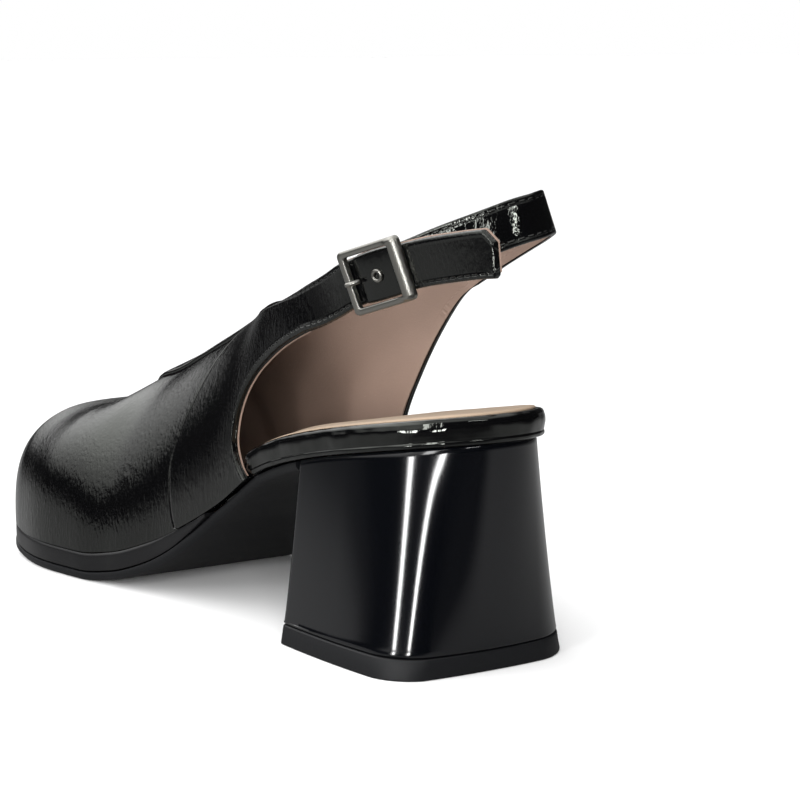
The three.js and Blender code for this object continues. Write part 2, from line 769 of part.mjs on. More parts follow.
// The part of the medial quarter that reaches over the ridge, cut from above.
function reachBlock() {
  const corners = medialReach.map((row) => new THREE.Vector2(row.at * soleLength, row.across * ballWidth));
  const curve = new THREE.SplineCurve(corners);
  const edge = curve.getPoints((medialReach.length - 1) * 3);
  const overlap = 1.5 * ridgeSplit;
  const end = edge[edge.length - 1];
  const pastThroat = end.x - 2 * ridgeOffset;
  const outline = [
    new THREE.Vector2(edge[0].x, overlap),
    ...edge,
    new THREE.Vector2(pastThroat, end.y),
    new THREE.Vector2(pastThroat, overlap),
  ].reverse();
  const geometry = new THREE.ExtrudeGeometry(new THREE.Shape(outline), {
    depth: 2 * instepHeight,
    bevelEnabled: false,
    curveSegments: 1,
  });
  return toSolid(geometry);
}

function upper() {
  const outside = wallThickness + overlayStep;
  const hidden = 0.4 * wallThickness;
  const openings = halfPattern(lateralTop, lateralRear, 'lateral').add(halfPattern(medialTop, medialRear, 'medial'));
  const body = shell(shellStart, 1, 0, wallThickness, 40, 12).intersect(openings);
  const lateralQuarter = shell(shellStart, 0.6, hidden, outside, 20, 12)
    .intersect(quarterPattern(lateralSeam, lateralTop, lateralRear, 'lateral'));
  const medialQuarter = shell(shellStart, 0.82, hidden, outside, 27, 12)
    .intersect(quarterPattern(medialSeam, medialTop, medialRear, 'medial').add(reachBlock()))
    .intersect(openings);
  return body
    .add(lateralQuarter)
    .add(medialQuarter)
    .add(strap(slingPath, slingWidth, slingThickness, 34))
    .add(strap(strapPath, strapWidth, strapThickness, 20, tipChamfer));
}

// A group that lies on the strap at the buckle: x runs to the heel, y up the strap, z outwards.
function buckleSeat() {
  const { centre, along, across, outwards } = strapFrame(strapPath, buckleAt);
  return new THREE.Matrix4()
    .makeBasis(along.clone().negate(), across, outwards)
    .setPosition(centre);
}

const frameFloor = strapThickness / 2 + gap;

function roundedBox(path, left, right, bottom, top, radius) {
  path.moveTo(left + radius, bottom);
  path.lineTo(right - radius, bottom);
  path.absarc(right - radius, bottom + radius, radius, -Math.PI / 2, 0);
  path.lineTo(right, top - radius);
  path.absarc(right - radius, top - radius, radius, 0, Math.PI / 2);
  path.lineTo(left + radius, top);
  path.absarc(left + radius, top - radius, radius, Math.PI / 2, Math.PI);
  path.lineTo(left, bottom + radius);
  path.absarc(left + radius, bottom + radius, radius, Math.PI, 1.5 * Math.PI);
}

function buckleFrame() {
  const innerHalf = strapWidth / 2 + frameSlack;
  const outerHalf = innerHalf + sideBar;
  const bevel = 0.35;
  const shape = new THREE.Shape();
  roundedBox(shape, -frameLength / 2 + bevel, frameLength / 2 - bevel, bevel - outerHalf, outerHalf - bevel, frameCorner);
  const opening = new THREE.Path();
  roundedBox(opening, -frameLength / 2 + frontBar, frameLength / 2 - rearBar, -innerHalf, innerHalf, frameCorner / 2);
  shape.holes.push(opening);
  const geometry = new THREE.ExtrudeGeometry(shape, {
    depth: frameThickness - 2 * bevel,
    bevelSize: bevel,
    bevelThickness: bevel,
    bevelSegments: 1,
    curveSegments: 4,
  });
  geometry.translate(0, 0, frameFloor + bevel);
  return geometry.applyMatrix4(buckleSeat());
}

// The hook over the frame's front bar, which dips towards the strap behind the bar.
function buckleProng() {
  const bar = -frameLength / 2 + frontBar / 2;
  const over = frameFloor + frameThickness + gap + prongRadius;
  const side = frontBar / 2 + gap + prongRadius;
  const low = strapThickness / 2 + 2 * gap + prongRadius;
  const curve = new THREE.CatmullRomCurve3([
    new THREE.Vector3(bar - frontBar * 0.3, 0, over - 0.1),
    new THREE.Vector3(bar, 0, over),
    new THREE.Vector3(bar + side * 0.75, 0, over - 0.3),
    new THREE.Vector3(bar + side + 0.5, 0, (over + low) / 2),
    new THREE.Vector3(bar + side + 1.1, 0, low),
  ]);
  const circle = new THREE.Shape();
  circle.absarc(0, 0, prongRadius, 0, 2 * Math.PI);
  const geometry = new THREE.ExtrudeGeometry(circle, { steps: 10, extrudePath: curve, curveSegments: 4 });
  return geometry.applyMatrix4(buckleSeat());
}

function strapEyelet() {
  const floor = strapThickness / 2 + gap / 2;
  const hole = 0.45 * eyeletRadius;
  const rim = 0.3;
  const profile = [
    [hole, floor],
    [eyeletRadius, floor],
    [eyeletRadius, floor + eyeletHeight - rim],
    [eyeletRadius - rim, floor + eyeletHeight],
    [hole + rim, floor + eyeletHeight],
    [hole, floor + eyeletHeight - rim],
    [hole, floor],
  ].map(([radius, height]) => new THREE.Vector2(radius, height));
  const geometry = new THREE.LatheGeometry(profile, 16);
  geometry.rotateX(Math.PI / 2);
  return geometry.applyMatrix4(buckleSeat());
}

function piece(name, shape, color, roughness, metalness = 0) {
  const geometry = shape.isBufferGeometry ? shape : fromSolid(shape);
  const material = new THREE.MeshStandardMaterial({ color, roughness, metalness });
  geometry.translate(-(heelSetForward + heelDepth / 2), -heelShift, 0);
  const mesh = new THREE.Mesh(geometry, material);
  mesh.name = name;
  return mesh;
}

const shoe = new THREE.Group();
shoe.name = 'slingback';
shoe.add(
  piece('outsole', outsole(), colours.rubber, 0.7),
  piece('platform_band', platformBand(), colours.band, 0.5),
  piece('insole_board', insoleBoard(), colours.patent, 0.2),
  piece('sock', sock(), colours.sock, 0.8),
  piece('heel_block', heelBlock(), colours.lacquer, 0.15),
  piece('heel_lift', heelLift(), colours.rubber, 0.7),
  piece('upper', upper(), colours.patent, 0.2),
  piece('buckle_frame', buckleFrame(), colours.metal, 0.35, 1),
  piece('buckle_prong', buckleProng(), colours.metal, 0.35, 1),
  piece('strap_eyelet', strapEyelet(), colours.metal, 0.35, 1),
);

export default shoe;
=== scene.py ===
# A closed-toe slingback pump in crinkled patent leather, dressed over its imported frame.
import math

import bpy
import numpy as np
from bpy.props import FloatProperty, FloatVectorProperty, PointerProperty
from bpy.types import Operator, Panel, PropertyGroup
from mathutils import Matrix, Vector


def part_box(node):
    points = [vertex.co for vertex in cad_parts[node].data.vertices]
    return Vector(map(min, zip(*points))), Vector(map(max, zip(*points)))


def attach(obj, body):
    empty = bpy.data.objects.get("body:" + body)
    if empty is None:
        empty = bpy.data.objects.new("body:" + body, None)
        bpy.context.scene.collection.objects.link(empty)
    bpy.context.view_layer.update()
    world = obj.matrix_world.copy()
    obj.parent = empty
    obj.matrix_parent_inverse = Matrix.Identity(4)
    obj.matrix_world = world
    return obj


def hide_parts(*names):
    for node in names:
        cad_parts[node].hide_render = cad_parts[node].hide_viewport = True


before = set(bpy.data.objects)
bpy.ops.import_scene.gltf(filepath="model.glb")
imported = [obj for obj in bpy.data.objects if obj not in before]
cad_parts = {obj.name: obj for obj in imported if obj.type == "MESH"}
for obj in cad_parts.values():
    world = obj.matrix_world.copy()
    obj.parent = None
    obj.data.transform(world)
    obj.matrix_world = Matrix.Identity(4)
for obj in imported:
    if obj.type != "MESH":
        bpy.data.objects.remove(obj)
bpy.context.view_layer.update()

bl_info = {
    "name": "Slingback Pump",
    "version": (1, 0, 0),
    "blender": (4, 5, 0),
    "location": "3D View > Sidebar > Shoe",
    "description": "Builds a patent slingback pump with a flared block heel",
    "category": "Object",
}

BODY = "root"


# Sizes and colours

def length(name, default, about, low=0.0):
    return FloatProperty(name=name, description=about, default=default, min=low, unit="LENGTH", precision=4)


def colour(name, default, about):
    return FloatVectorProperty(name=name, description=about, default=default, size=3, min=0.0, max=1.0, subtype="COLOR")


class ShoeSizes(PropertyGroup):
    sole_length: length("Sole length", 0.243, "Length of the sole outline")
    seat_width: length("Seat width", 0.058, "Width of the sole under the heel of the foot")
    ball_width: length("Ball width", 0.077, "Width of the sole under the ball of the foot")
    seat_height: length("Seat height", 0.0632, "Height of the feather line at the back of the seat")
    instep_height: length("Instep height", 0.068, "Height of the instep over the feather line")
    toe_height: length("Toe height", 0.0405, "Height of the toe box over the feather line")
    toe_spring: length("Toe spring", 0.006, "Rise of the sole at the toe")
    wall: length("Wall", 0.0016, "Thickness of the lining and its backing")
    overlay: length("Overlay", 0.0013, "Thickness of a patent panel over the vamp")
    strap_width: length("Strap width", 0.0128, "Width of the buckled strap")
    sling_width: length("Sling width", 0.0124, "Width of the strap round the heel")
    rim_height: length("Rim height", 0.0076, "Height of the wrapped rim of the seat")
    band_height: length("Band height", 0.0062, "Height of the platform band")
    outsole_height: length("Outsole height", 0.0028, "Thickness of the outsole")
    stitch_pitch: length("Stitch pitch", 0.0026, "Distance from one stitch to the next")


class ShoeColours(PropertyGroup):
    patent: colour("Patent", (0.0012, 0.0012, 0.0014), "Base colour of the patent leather")
    lining: colour("Lining", (0.215, 0.148, 0.116), "Colour of the leather lining")
    sock: colour("Sock", (0.31, 0.232, 0.165), "Colour of the padded insole sock")
    band: colour("Band", (0.0028, 0.0028, 0.0032), "Colour of the platform band")
    rubber: colour("Rubber", (0.0035, 0.0037, 0.0044), "Colour of the outsole and heel lift")
    lacquer: colour("Heel lacquer", (0.0008, 0.0010, 0.0016), "Colour of the lacquered heel")
    metal: colour("Buckle", (0.25, 0.245, 0.225), "Colour of the aged buckle metal")
    floor: colour("Floor", (0.86, 0.86, 0.86), "Colour of the studio floor")


# Curves and the last

def stairs(t):
    t = np.clip(t, 0.0, 1.0)
    return t * t * (3 - 2 * t)


def ease(x, low, high):
    return stairs((np.asarray(x, float) - low) / (high - low))


def monotone(xs, ys):
    """A monotone cubic through the points, as a function of x."""
    xs = np.asarray(xs, float)
    ys = np.asarray(ys, float)
    h = np.diff(xs)
    slope = np.diff(ys) / h
    m = np.zeros(len(xs))
    for i in range(1, len(xs) - 1):
        if slope[i - 1] * slope[i] > 0:
            a = 2 * h[i] + h[i - 1]
            b = h[i] + 2 * h[i - 1]
            m[i] = (a + b) / (a / slope[i - 1] + b / slope[i])

    def end(near, far, s0, s1):
        v = ((2 * near + far) * s0 - near * s1) / (near + far)
        if v * s0 <= 0:
            return 0.0
        if s0 * s1 <= 0 and abs(v) > 3 * abs(s0):
            return 3 * s0
        return v

    m[0] = end(h[0], h[1], slope[0], slope[1])
    m[-1] = end(h[-1], h[-2], slope[-1], slope[-2])

    def read(x):
        x = np.clip(np.asarray(x, float), xs[0], xs[-1])
        i = np.clip(np.searchsorted(xs, x) - 1, 0, len(xs) - 2)
        t = (x - xs[i]) / h[i]
        t2, t3 = t * t, t * t * t
        return ((2 * t3 - 3 * t2 + 1) * ys[i] + (t3 - 2 * t2 + t) * h[i] * m[i]
                + (3 * t2 - 2 * t3) * ys[i + 1] + (t3 - t2) * h[i] * m[i + 1])

    return read


def through(points, count):
    """A smooth line through the points, with its new points evenly spaced."""
    p = np.asarray(points, float)
    step = np.sqrt(np.maximum(np.linalg.norm(np.diff(p, axis=0), axis=1), 1e-9))
    knots = np.concatenate([[0], np.cumsum(step)])
    tangent = np.zeros_like(p)
    tangent[1:-1] = (p[2:] - p[:-2]) / (knots[2:] - knots[:-2])[:, None]
    tangent[0] = (p[1] - p[0]) / (knots[1] - knots[0])
    tangent[-1] = (p[-1] - p[-2]) / (knots[-1] - knots[-2])
    fine = np.linspace(0, knots[-1], 40 * len(p))
    i = np.clip(np.searchsorted(knots, fine) - 1, 0, len(p) - 2)
    h = (knots[i + 1] - knots[i])
    t = ((fine - knots[i]) / h)[:, None]
    h = h[:, None]
    t2, t3 = t * t, t * t * t
    line = ((2 * t3 - 3 * t2 + 1) * p[i] + (t3 - 2 * t2 + t) * h * tangent[i]
            + (3 * t2 - 2 * t3) * p[i + 1] + (t3 - t2) * h * tangent[i + 1])
    return evenly(line, count)


def evenly(line, count):
    line = np.asarray(line, float)
    run = np.concatenate([[0], np.cumsum(np.linalg.norm(np.diff(line, axis=0), axis=1))])
    wanted = np.linspace(0, run[-1], count)
    return np.stack([np.interp(wanted, run, line[:, k]) for k in range(line.shape[1])], 1)


FEATHER = [(0, 1, 0), (0.12, 0.922, 0), (0.24, 0.816, 0), (0.34, 0.679, 0), (0.42, 0.466, 0), (0.5, 0.282, 0),
           (0.58, 0.13, 0), (0.65, 0.034, 0), (0.71, 0, 0), (0.85, 0, 0), (0.9, 0, 0.1), (0.95, 0, 0.42), (1, 0, 1)]
OUTLINE = [(0, 0, 0), (0.03, 0.286, 0.286), (0.08, 0.429, 0.429), (0.15, 0.5, 0.5), (0.25, 0.518, 0.491),
           (0.35, 0.489, 0.428), (0.45, 0.454, 0.362), (0.55, 0.438, 0.372), (0.65, 0.475, 0.435),
           (0.72, 0.519, 0.466), (0.8, 0.542, 0.46), (0.88, 0.508, 0.424), (0.94, 0.437, 0.343),
           (0.98, 0.292, 0.217), (1, 0.039, -0.039)]
TOP = [(0, 1.28, 0), (0.15, 1.35, 0), (0.27, 1.2, 0), (0.38, 0.97, 0), (0.46, 0.905, 0), (0.54, 0.915, 0),
       (0.62, 0.897, 0), (0.7, 0.5, 0.56), (0.78, 0, 1.086), (0.84, 0, 1.025), (0.9, 0, 0.99)]
FULLNESS = [(0, 2.6), (0.25, 2.6), (0.45, 1.95), (0.65, 1.9), (0.8, 3), (1, 3)]
RIDGE = [(0, 0), (0.3, 0), (0.5, 0.77), (0.7, 0.97), (0.9, 1.14), (1, 1.14)]
BAND = [(0.4, 0), (0.44, 0.15), (0.48, 0.5), (0.53, 0.85), (0.6, 1), (1, 1)]
SOCK = [(0, 0), (0.15, 0.3), (0.33, 1.7), (0.5, 0.9), (1, 0.5)]

RIDGE_OFFSET = 5.0
WAIST_INSET, TOE_INSET = 0.8, -0.9
TOE_START, TOE_DROP, TOE_ROUND = 0.9, 0.21, 2.36
EDGE_PROUD = 0.8
GAP = 0.3
ORIGIN = np.array([34.2, 1.9, 0.0])


class Last:
    """The last's surface and the sole's outline, in millimetres from under the back of the seat."""

    def __init__(self, sizes):
        mm = 1000.0
        self.long = sizes.sole_length * mm
        self.seat_wide, self.ball_wide = sizes.seat_width * mm, sizes.ball_width * mm
        self.seat, self.instep, self.toe = sizes.seat_height * mm, sizes.instep_height * mm, sizes.toe_height * mm
        self.spring = sizes.toe_spring * mm
        self.wall = sizes.wall * mm
        self.band, self.rim = sizes.band_height * mm, sizes.rim_height * mm
        self.sole = sizes.outsole_height * mm
        self.stack = self.band + GAP + self.sole
        at = [r[0] for r in FEATHER]
        self.rise = monotone(at, [r[1] for r in FEATHER])
        self.springs = monotone(at, [r[2] for r in FEATHER])
        turns = [math.acos(1 - 2 * r[0]) for r in OUTLINE]
        self.sides = {1: monotone(turns, [r[1] for r in OUTLINE]), -1: monotone(turns, [r[2] for r in OUTLINE])}
        self.top_instep = monotone([r[0] for r in TOP], [r[1] for r in TOP])
        self.top_toe = monotone([r[0] for r in TOP], [r[2] for r in TOP])
        self.full = monotone(*zip(*FULLNESS))
        self.ridge = monotone(*zip(*RIDGE))
        self.band_share = monotone(*zip(*BAND))
        self.crown = monotone(*zip(*SOCK))

    def feather(self, at):
        return self.stack + (self.seat - self.stack) * self.rise(at) + self.spring * self.springs(at)

    def raw_edge(self, turn, side):
        at = (1 - np.cos(turn)) / 2
        wide = self.seat_wide + (self.ball_wide - self.seat_wide) * ease(at, 0.3, 0.65)
        return np.stack([at * self.long, side * wide * self.sides[side](turn)], -1)

    def edge(self, turn, side, outward):
        turn = np.asarray(turn, float)
        nudge = 0.004
        a = self.raw_edge(np.maximum(turn - nudge, 0), side)
        b = self.raw_edge(np.minimum(turn + nudge, math.pi), side)
        run = b - a
        run /= np.maximum(np.linalg.norm(run, axis=-1, keepdims=True), 1e-12)
        normal = np.stack([-run[..., 1] * side, run[..., 0] * side], -1)
        normal[turn < nudge] = (-1, 0)
        normal[turn > math.pi - nudge] = (1, 0)
        return self.raw_edge(turn, side) + normal * np.asarray(outward)[..., None]

    def point(self, at, around, grow):
        """around runs from 1 on the outer feather line over 0 on the ridge to -1 on the inner one."""
        at, around, grow = np.broadcast_arrays(*(np.asarray(v, float) for v in (at, around, grow)))
        at = np.clip(at, 0, 1)
        turn = np.arccos(1 - 2 * at)
        inset = grow - self.wall - (WAIST_INSET + (TOE_INSET - WAIST_INSET) * ease(at, 0.5, 0.75))
        foot = np.where((around >= 0)[..., None], self.edge(turn, 1, inset), self.edge(turn, -1, inset))
        into = np.clip((at - TOE_START) / (1 - TOE_START), 0, 1)
        cap = (1 - into ** TOE_ROUND) ** (1 / TOE_ROUND)
        round_end = np.sqrt(1 - into * into)
        tip = self.raw_edge(np.array(math.pi), 1)[1]
        ridge_y = tip + (-RIDGE_OFFSET * self.ridge(at) - tip) * round_end
        ridge_x = at * self.long + inset * (1 - round_end)
        near = 1 - 0.75 * ease(around, 0.02, 0.34)
        full = self.top(at) * near + self.even_top(at) * (1 - near) - self.toe * TOE_DROP * into
        high = (full + grow - self.wall) * cap
        power = 2 / self.full(at)
        quarter = (1 - np.abs(around)) * math.pi / 2
        spread = np.maximum(np.cos(quarter), 0) ** power
        lift = np.sin(quarter) ** power
        return np.stack([ridge_x + (foot[..., 0] - ridge_x) * spread,
                         ridge_y + (foot[..., 1] - ridge_y) * spread,
                         self.feather(at) + high * lift], -1)

    def top(self, at):
        return self.instep * self.top_instep(at) + self.toe * self.top_toe(at)

    def even_top(self, at):
        return np.mean([self.top(np.clip(at + step, 0, 1)) for step in (-0.09, -0.06, -0.03, 0, 0.03, 0.06, 0.09)], 0)

    def around_at(self, at, up, side):
        """Where a height over the feather line is met on one side of the last."""
        at = np.asarray(at, float)
        goal = self.feather(at) + np.asarray(up, float) * self.instep
        low, high = np.zeros_like(at), np.ones_like(at)
        for _ in range(30):
            middle = (low + high) / 2
            above = self.point(at, side * middle, self.wall)[..., 2] > goal
            low = np.where(above, middle, low)
            high = np.where(above, high, middle)
        return side * (low + high) / 2

    def across_at(self, at, across):
        """Where a distance to the outer side of the middle line is met near the ridge."""
        at = np.asarray(at, float)
        low, high = -np.ones_like(at), np.ones_like(at)
        for _ in range(30):
            middle = (low + high) / 2
            short = self.point(at, middle, self.wall)[..., 1] < across
            low = np.where(short, middle, low)
            high = np.where(short, high, middle)
        return (low + high) / 2


# Meshes

def tidy_selection():
    if bpy.context.object and bpy.context.object.mode != "OBJECT":
        bpy.ops.object.mode_set(mode="OBJECT")
    bpy.ops.object.select_all(action="DESELECT")


def grid_at(name, rows, closed=False, caps=False, maps=None, bands=None):
    """A grid whose corners are set to the rows of points, in millimetres; closed joins its two long edges."""
    rows = np.asarray(rows, float)
    count, wide = rows.shape[:2]
    tidy_selection()
    bpy.ops.mesh.primitive_grid_add(x_subdivisions=wide - 1 + (1 if closed else 0), y_subdivisions=count - 1, size=2)
    obj = bpy.context.object
    obj.name = name
    obj.data.name = name
    mesh = obj.data
    n = len(mesh.vertices)
    flat = np.empty(n * 3)
    mesh.vertices.foreach_get("co", flat)
    flat = flat.reshape(-1, 3)
    columns = wide + (1 if closed else 0)
    i = np.rint((flat[:, 1] + 1) / 2 * (count - 1)).astype(int)
    j = np.rint((flat[:, 0] + 1) / 2 * (columns - 1)).astype(int)
    placed = (rows[i, j % wide] - ORIGIN) * 0.001
    mesh.vertices.foreach_set("co", placed.ravel())
    corner = np.empty(len(mesh.loops), int)
    mesh.loops.foreach_get("vertex_index", corner)
    for uv_name, values in (maps or {}).items():
        layer = mesh.uv_layers.get(uv_name) or mesh.uv_layers.new(name=uv_name)
        values = np.asarray(values, float)
        pick = np.minimum(j, values.shape[1] - 1)
        layer.data.foreach_set("uv", values[i, pick][corner].ravel())
    if bands is not None:
        faces = np.empty(len(mesh.polygons) * 4, int)
        mesh.polygons.foreach_get("vertices", faces)
        column = j[faces].reshape(-1, 4)
        low = column.min(1)
        mesh.polygons.foreach_set("material_index", np.asarray(bands)[low])
    mesh.update()
    bpy.ops.object.mode_set(mode="EDIT")
    bpy.ops.mesh.select_all(action="SELECT")
    bpy.ops.mesh.remove_doubles(threshold=1e-6)
    if caps:
        bpy.ops.mesh.select_all(action="DESELECT")
        bpy.ops.mesh.select_mode(type="EDGE")
        bpy.ops.mesh.select_non_manifold(extend=False, use_wire=False, use_boundary=True,
                                         use_multi_face=False, use_non_contiguous=False, use_verts=False)
        bpy.ops.mesh.edge_face_add()
        bpy.ops.mesh.select_mode(type="VERT")
    bpy.ops.mesh.select_all(action="SELECT")
    if closed:
        bpy.ops.mesh.normals_make_consistent(inside=False)
    bpy.ops.object.mode_set(mode="OBJECT")
    return obj


def soften(obj, angle=35):
    tidy_selection()
    obj.select_set(True)
    bpy.context.view_layer.objects.active = obj
    bpy.ops.object.shade_smooth_by_angle(angle=math.radians(angle))
    return obj


def finish(obj, material, slot, *nodes, angle=35):
    for m in material if isinstance(material, (list, tuple)) else [material]:
        obj.data.materials.append(m)
    soften(obj, angle)
    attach(obj, BODY)
    if nodes:
        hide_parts(*nodes)
    return obj


# Lines of the upper, as in its pattern: share of the length, and height as a share of the instep

LATERAL_REAR = [(0.353, -0.06), (0.358, -0.026), (0.381, 0.102), (0.394, 0.255), (0.378, 0.403), (0.319, 0.472),
                (0.242, 0.518), (0.198, 0.54)]
LATERAL_TOP = [(0.47, 0.93), (0.444, 0.858), (0.416, 0.799), (0.37, 0.719), (0.309, 0.684), (0.249, 0.695),
               (0.198, 0.742)]
LATERAL_SEAM = [(0.514, -0.06), (0.529, 0.089), (0.54, 0.259), (0.542, 0.365), (0.535, 0.489), (0.526, 0.578),
                (0.519, 0.683), (0.511, 0.778), (0.494, 0.857), (0.47, 0.93)]
MEDIAL_REAR = [(0.353, -0.06), (0.352, 0.08), (0.337, 0.204), (0.313, 0.326), (0.282, 0.461), (0.251, 0.564),
               (0.222, 0.631), (0.189, 0.67)]
MEDIAL_TOP = [(0.47, 0.93), (0.444, 0.81), (0.403, 0.745), (0.35, 0.725), (0.288, 0.76), (0.239, 0.815),
              (0.189, 0.862)]
MEDIAL_SEAM = [(0.76, -0.06), (0.77, 0.15), (0.773, 0.35), (0.768, 0.5), (0.758, 0.62), (0.75, 0.7)]
MEDIAL_REACH = [(0.745, 0.015), (0.733, 0.092), (0.7, 0.112), (0.65, 0.102), (0.6, 0.088), (0.53, 0.083), (0.477, 0.078)]

# Straps: shares of the sole length, the seat width and the instep height, and the lean in degrees
SLING = [(0.247, -0.448, 0.7, 6), (0.206, -0.446, 0.751, 7), (0.156, -0.432, 0.799, 10), (0.099, -0.396, 0.844, 13),
         (0.049, -0.341, 0.877, 16), (0.012, -0.259, 0.894, 18), (-0.006, -0.138, 0.882, 18),
         (-0.006, -0.017, 0.862, 16), (0.019, 0.112, 0.818, 12), (0.049, 0.23, 0.776, 4), (0.082, 0.334, 0.732, -7),
         (0.113, 0.387, 0.706, -9)]
STRAP = [(0.255, 0.473, 0.607, 5), (0.206, 0.463, 0.631, 2), (0.177, 0.458, 0.653, -5), (0.15, 0.45, 0.68, -9),
         (0.115, 0.415, 0.7, -9), (0.082, 0.379, 0.716, -9), (0.041, 0.34, 0.731, -9), (0, 0.307, 0.738, -6),
         (-0.033, 0.277, 0.756, -3), (-0.058, 0.248, 0.765, 0)]


class StrapLine:
    """The middle of a strap from the quarter outwards, with the ways along, up and out at each place."""

    def __init__(self, last, rows, steps=400):
        points = [(a * last.long, c * last.seat_wide, last.feather(a) + u * last.instep) for a, c, u, _ in rows]
        self.line = through(points, steps)
        places = np.array([np.argmin(np.linalg.norm(self.line - p, axis=1)) for p in np.array(points)])
        lean = np.radians(np.interp(np.arange(steps), places, [r[3] for r in rows]))
        kernel = np.ones(41) / 41
        lean = np.convolve(np.pad(lean, 20, mode="edge"), kernel, mode="valid")
        along = np.gradient(self.line, axis=0)
        along /= np.linalg.norm(along, axis=1)[:, None]
        up = np.array([0, 0, 1.0]) - along * along[:, 2:3]
        up /= np.linalg.norm(up, axis=1)[:, None]
        out = np.cross(along, up)
        if out[5, 1] * self.line[5, 1] < 0:
            out = -out
        self.up = up * np.cos(lean)[:, None] - out * np.sin(lean)[:, None]
        self.out = out * np.cos(lean)[:, None] + up * np.sin(lean)[:, None]
        self.along = along
        self.run = np.concatenate([[0], np.cumsum(np.linalg.norm(np.diff(self.line, axis=0), axis=1))])
        self.long = self.run[-1]

    def at(self, run):
        def read(v):
            return np.stack([np.interp(run, self.run, v[:, k]) for k in range(3)], -1)
        return read(self.line), read(self.along), read(self.up), read(self.out)

    def run_at_x(self, x):
        """How far along the strap it passes a place along the shoe, near where it leaves the quarter."""
        half = np.argmax(self.run > 60)
        return np.interp(-np.asarray(x), -self.line[:half, 0], self.run[:half])


def edge_steps(long, roll):
    """Distances across a panel of a given width, close together at its rolled edges."""
    near = np.array([0, 0.12, 0.3, 0.55, 0.8, 1.1, 1.6, 2.3]) * roll / 0.8
    middle = np.linspace(near[-1], long - near[-1], 30)[1:-1]
    return np.concatenate([near, middle, long - near[::-1]])


# Inset and share of the height up the side of an edge, plain or folded over
PLAIN = np.array([(0.0, 0.0)])
FOLD = np.array([(0.2, 0.0), (0.04, 0.08), (0.0, 0.2), (0.0, 0.36), (0.07, 0.46), (0.3, 0.52), (0.07, 0.58), (0.0, 0.68)])


def rolled(distance, roll):
    """How far a rolled edge drops below the face, by the distance from the edge."""
    inside = np.clip(1 - distance / roll, 0, 1)
    return roll * (1 - np.sqrt(np.maximum(1 - inside * inside, 0)))


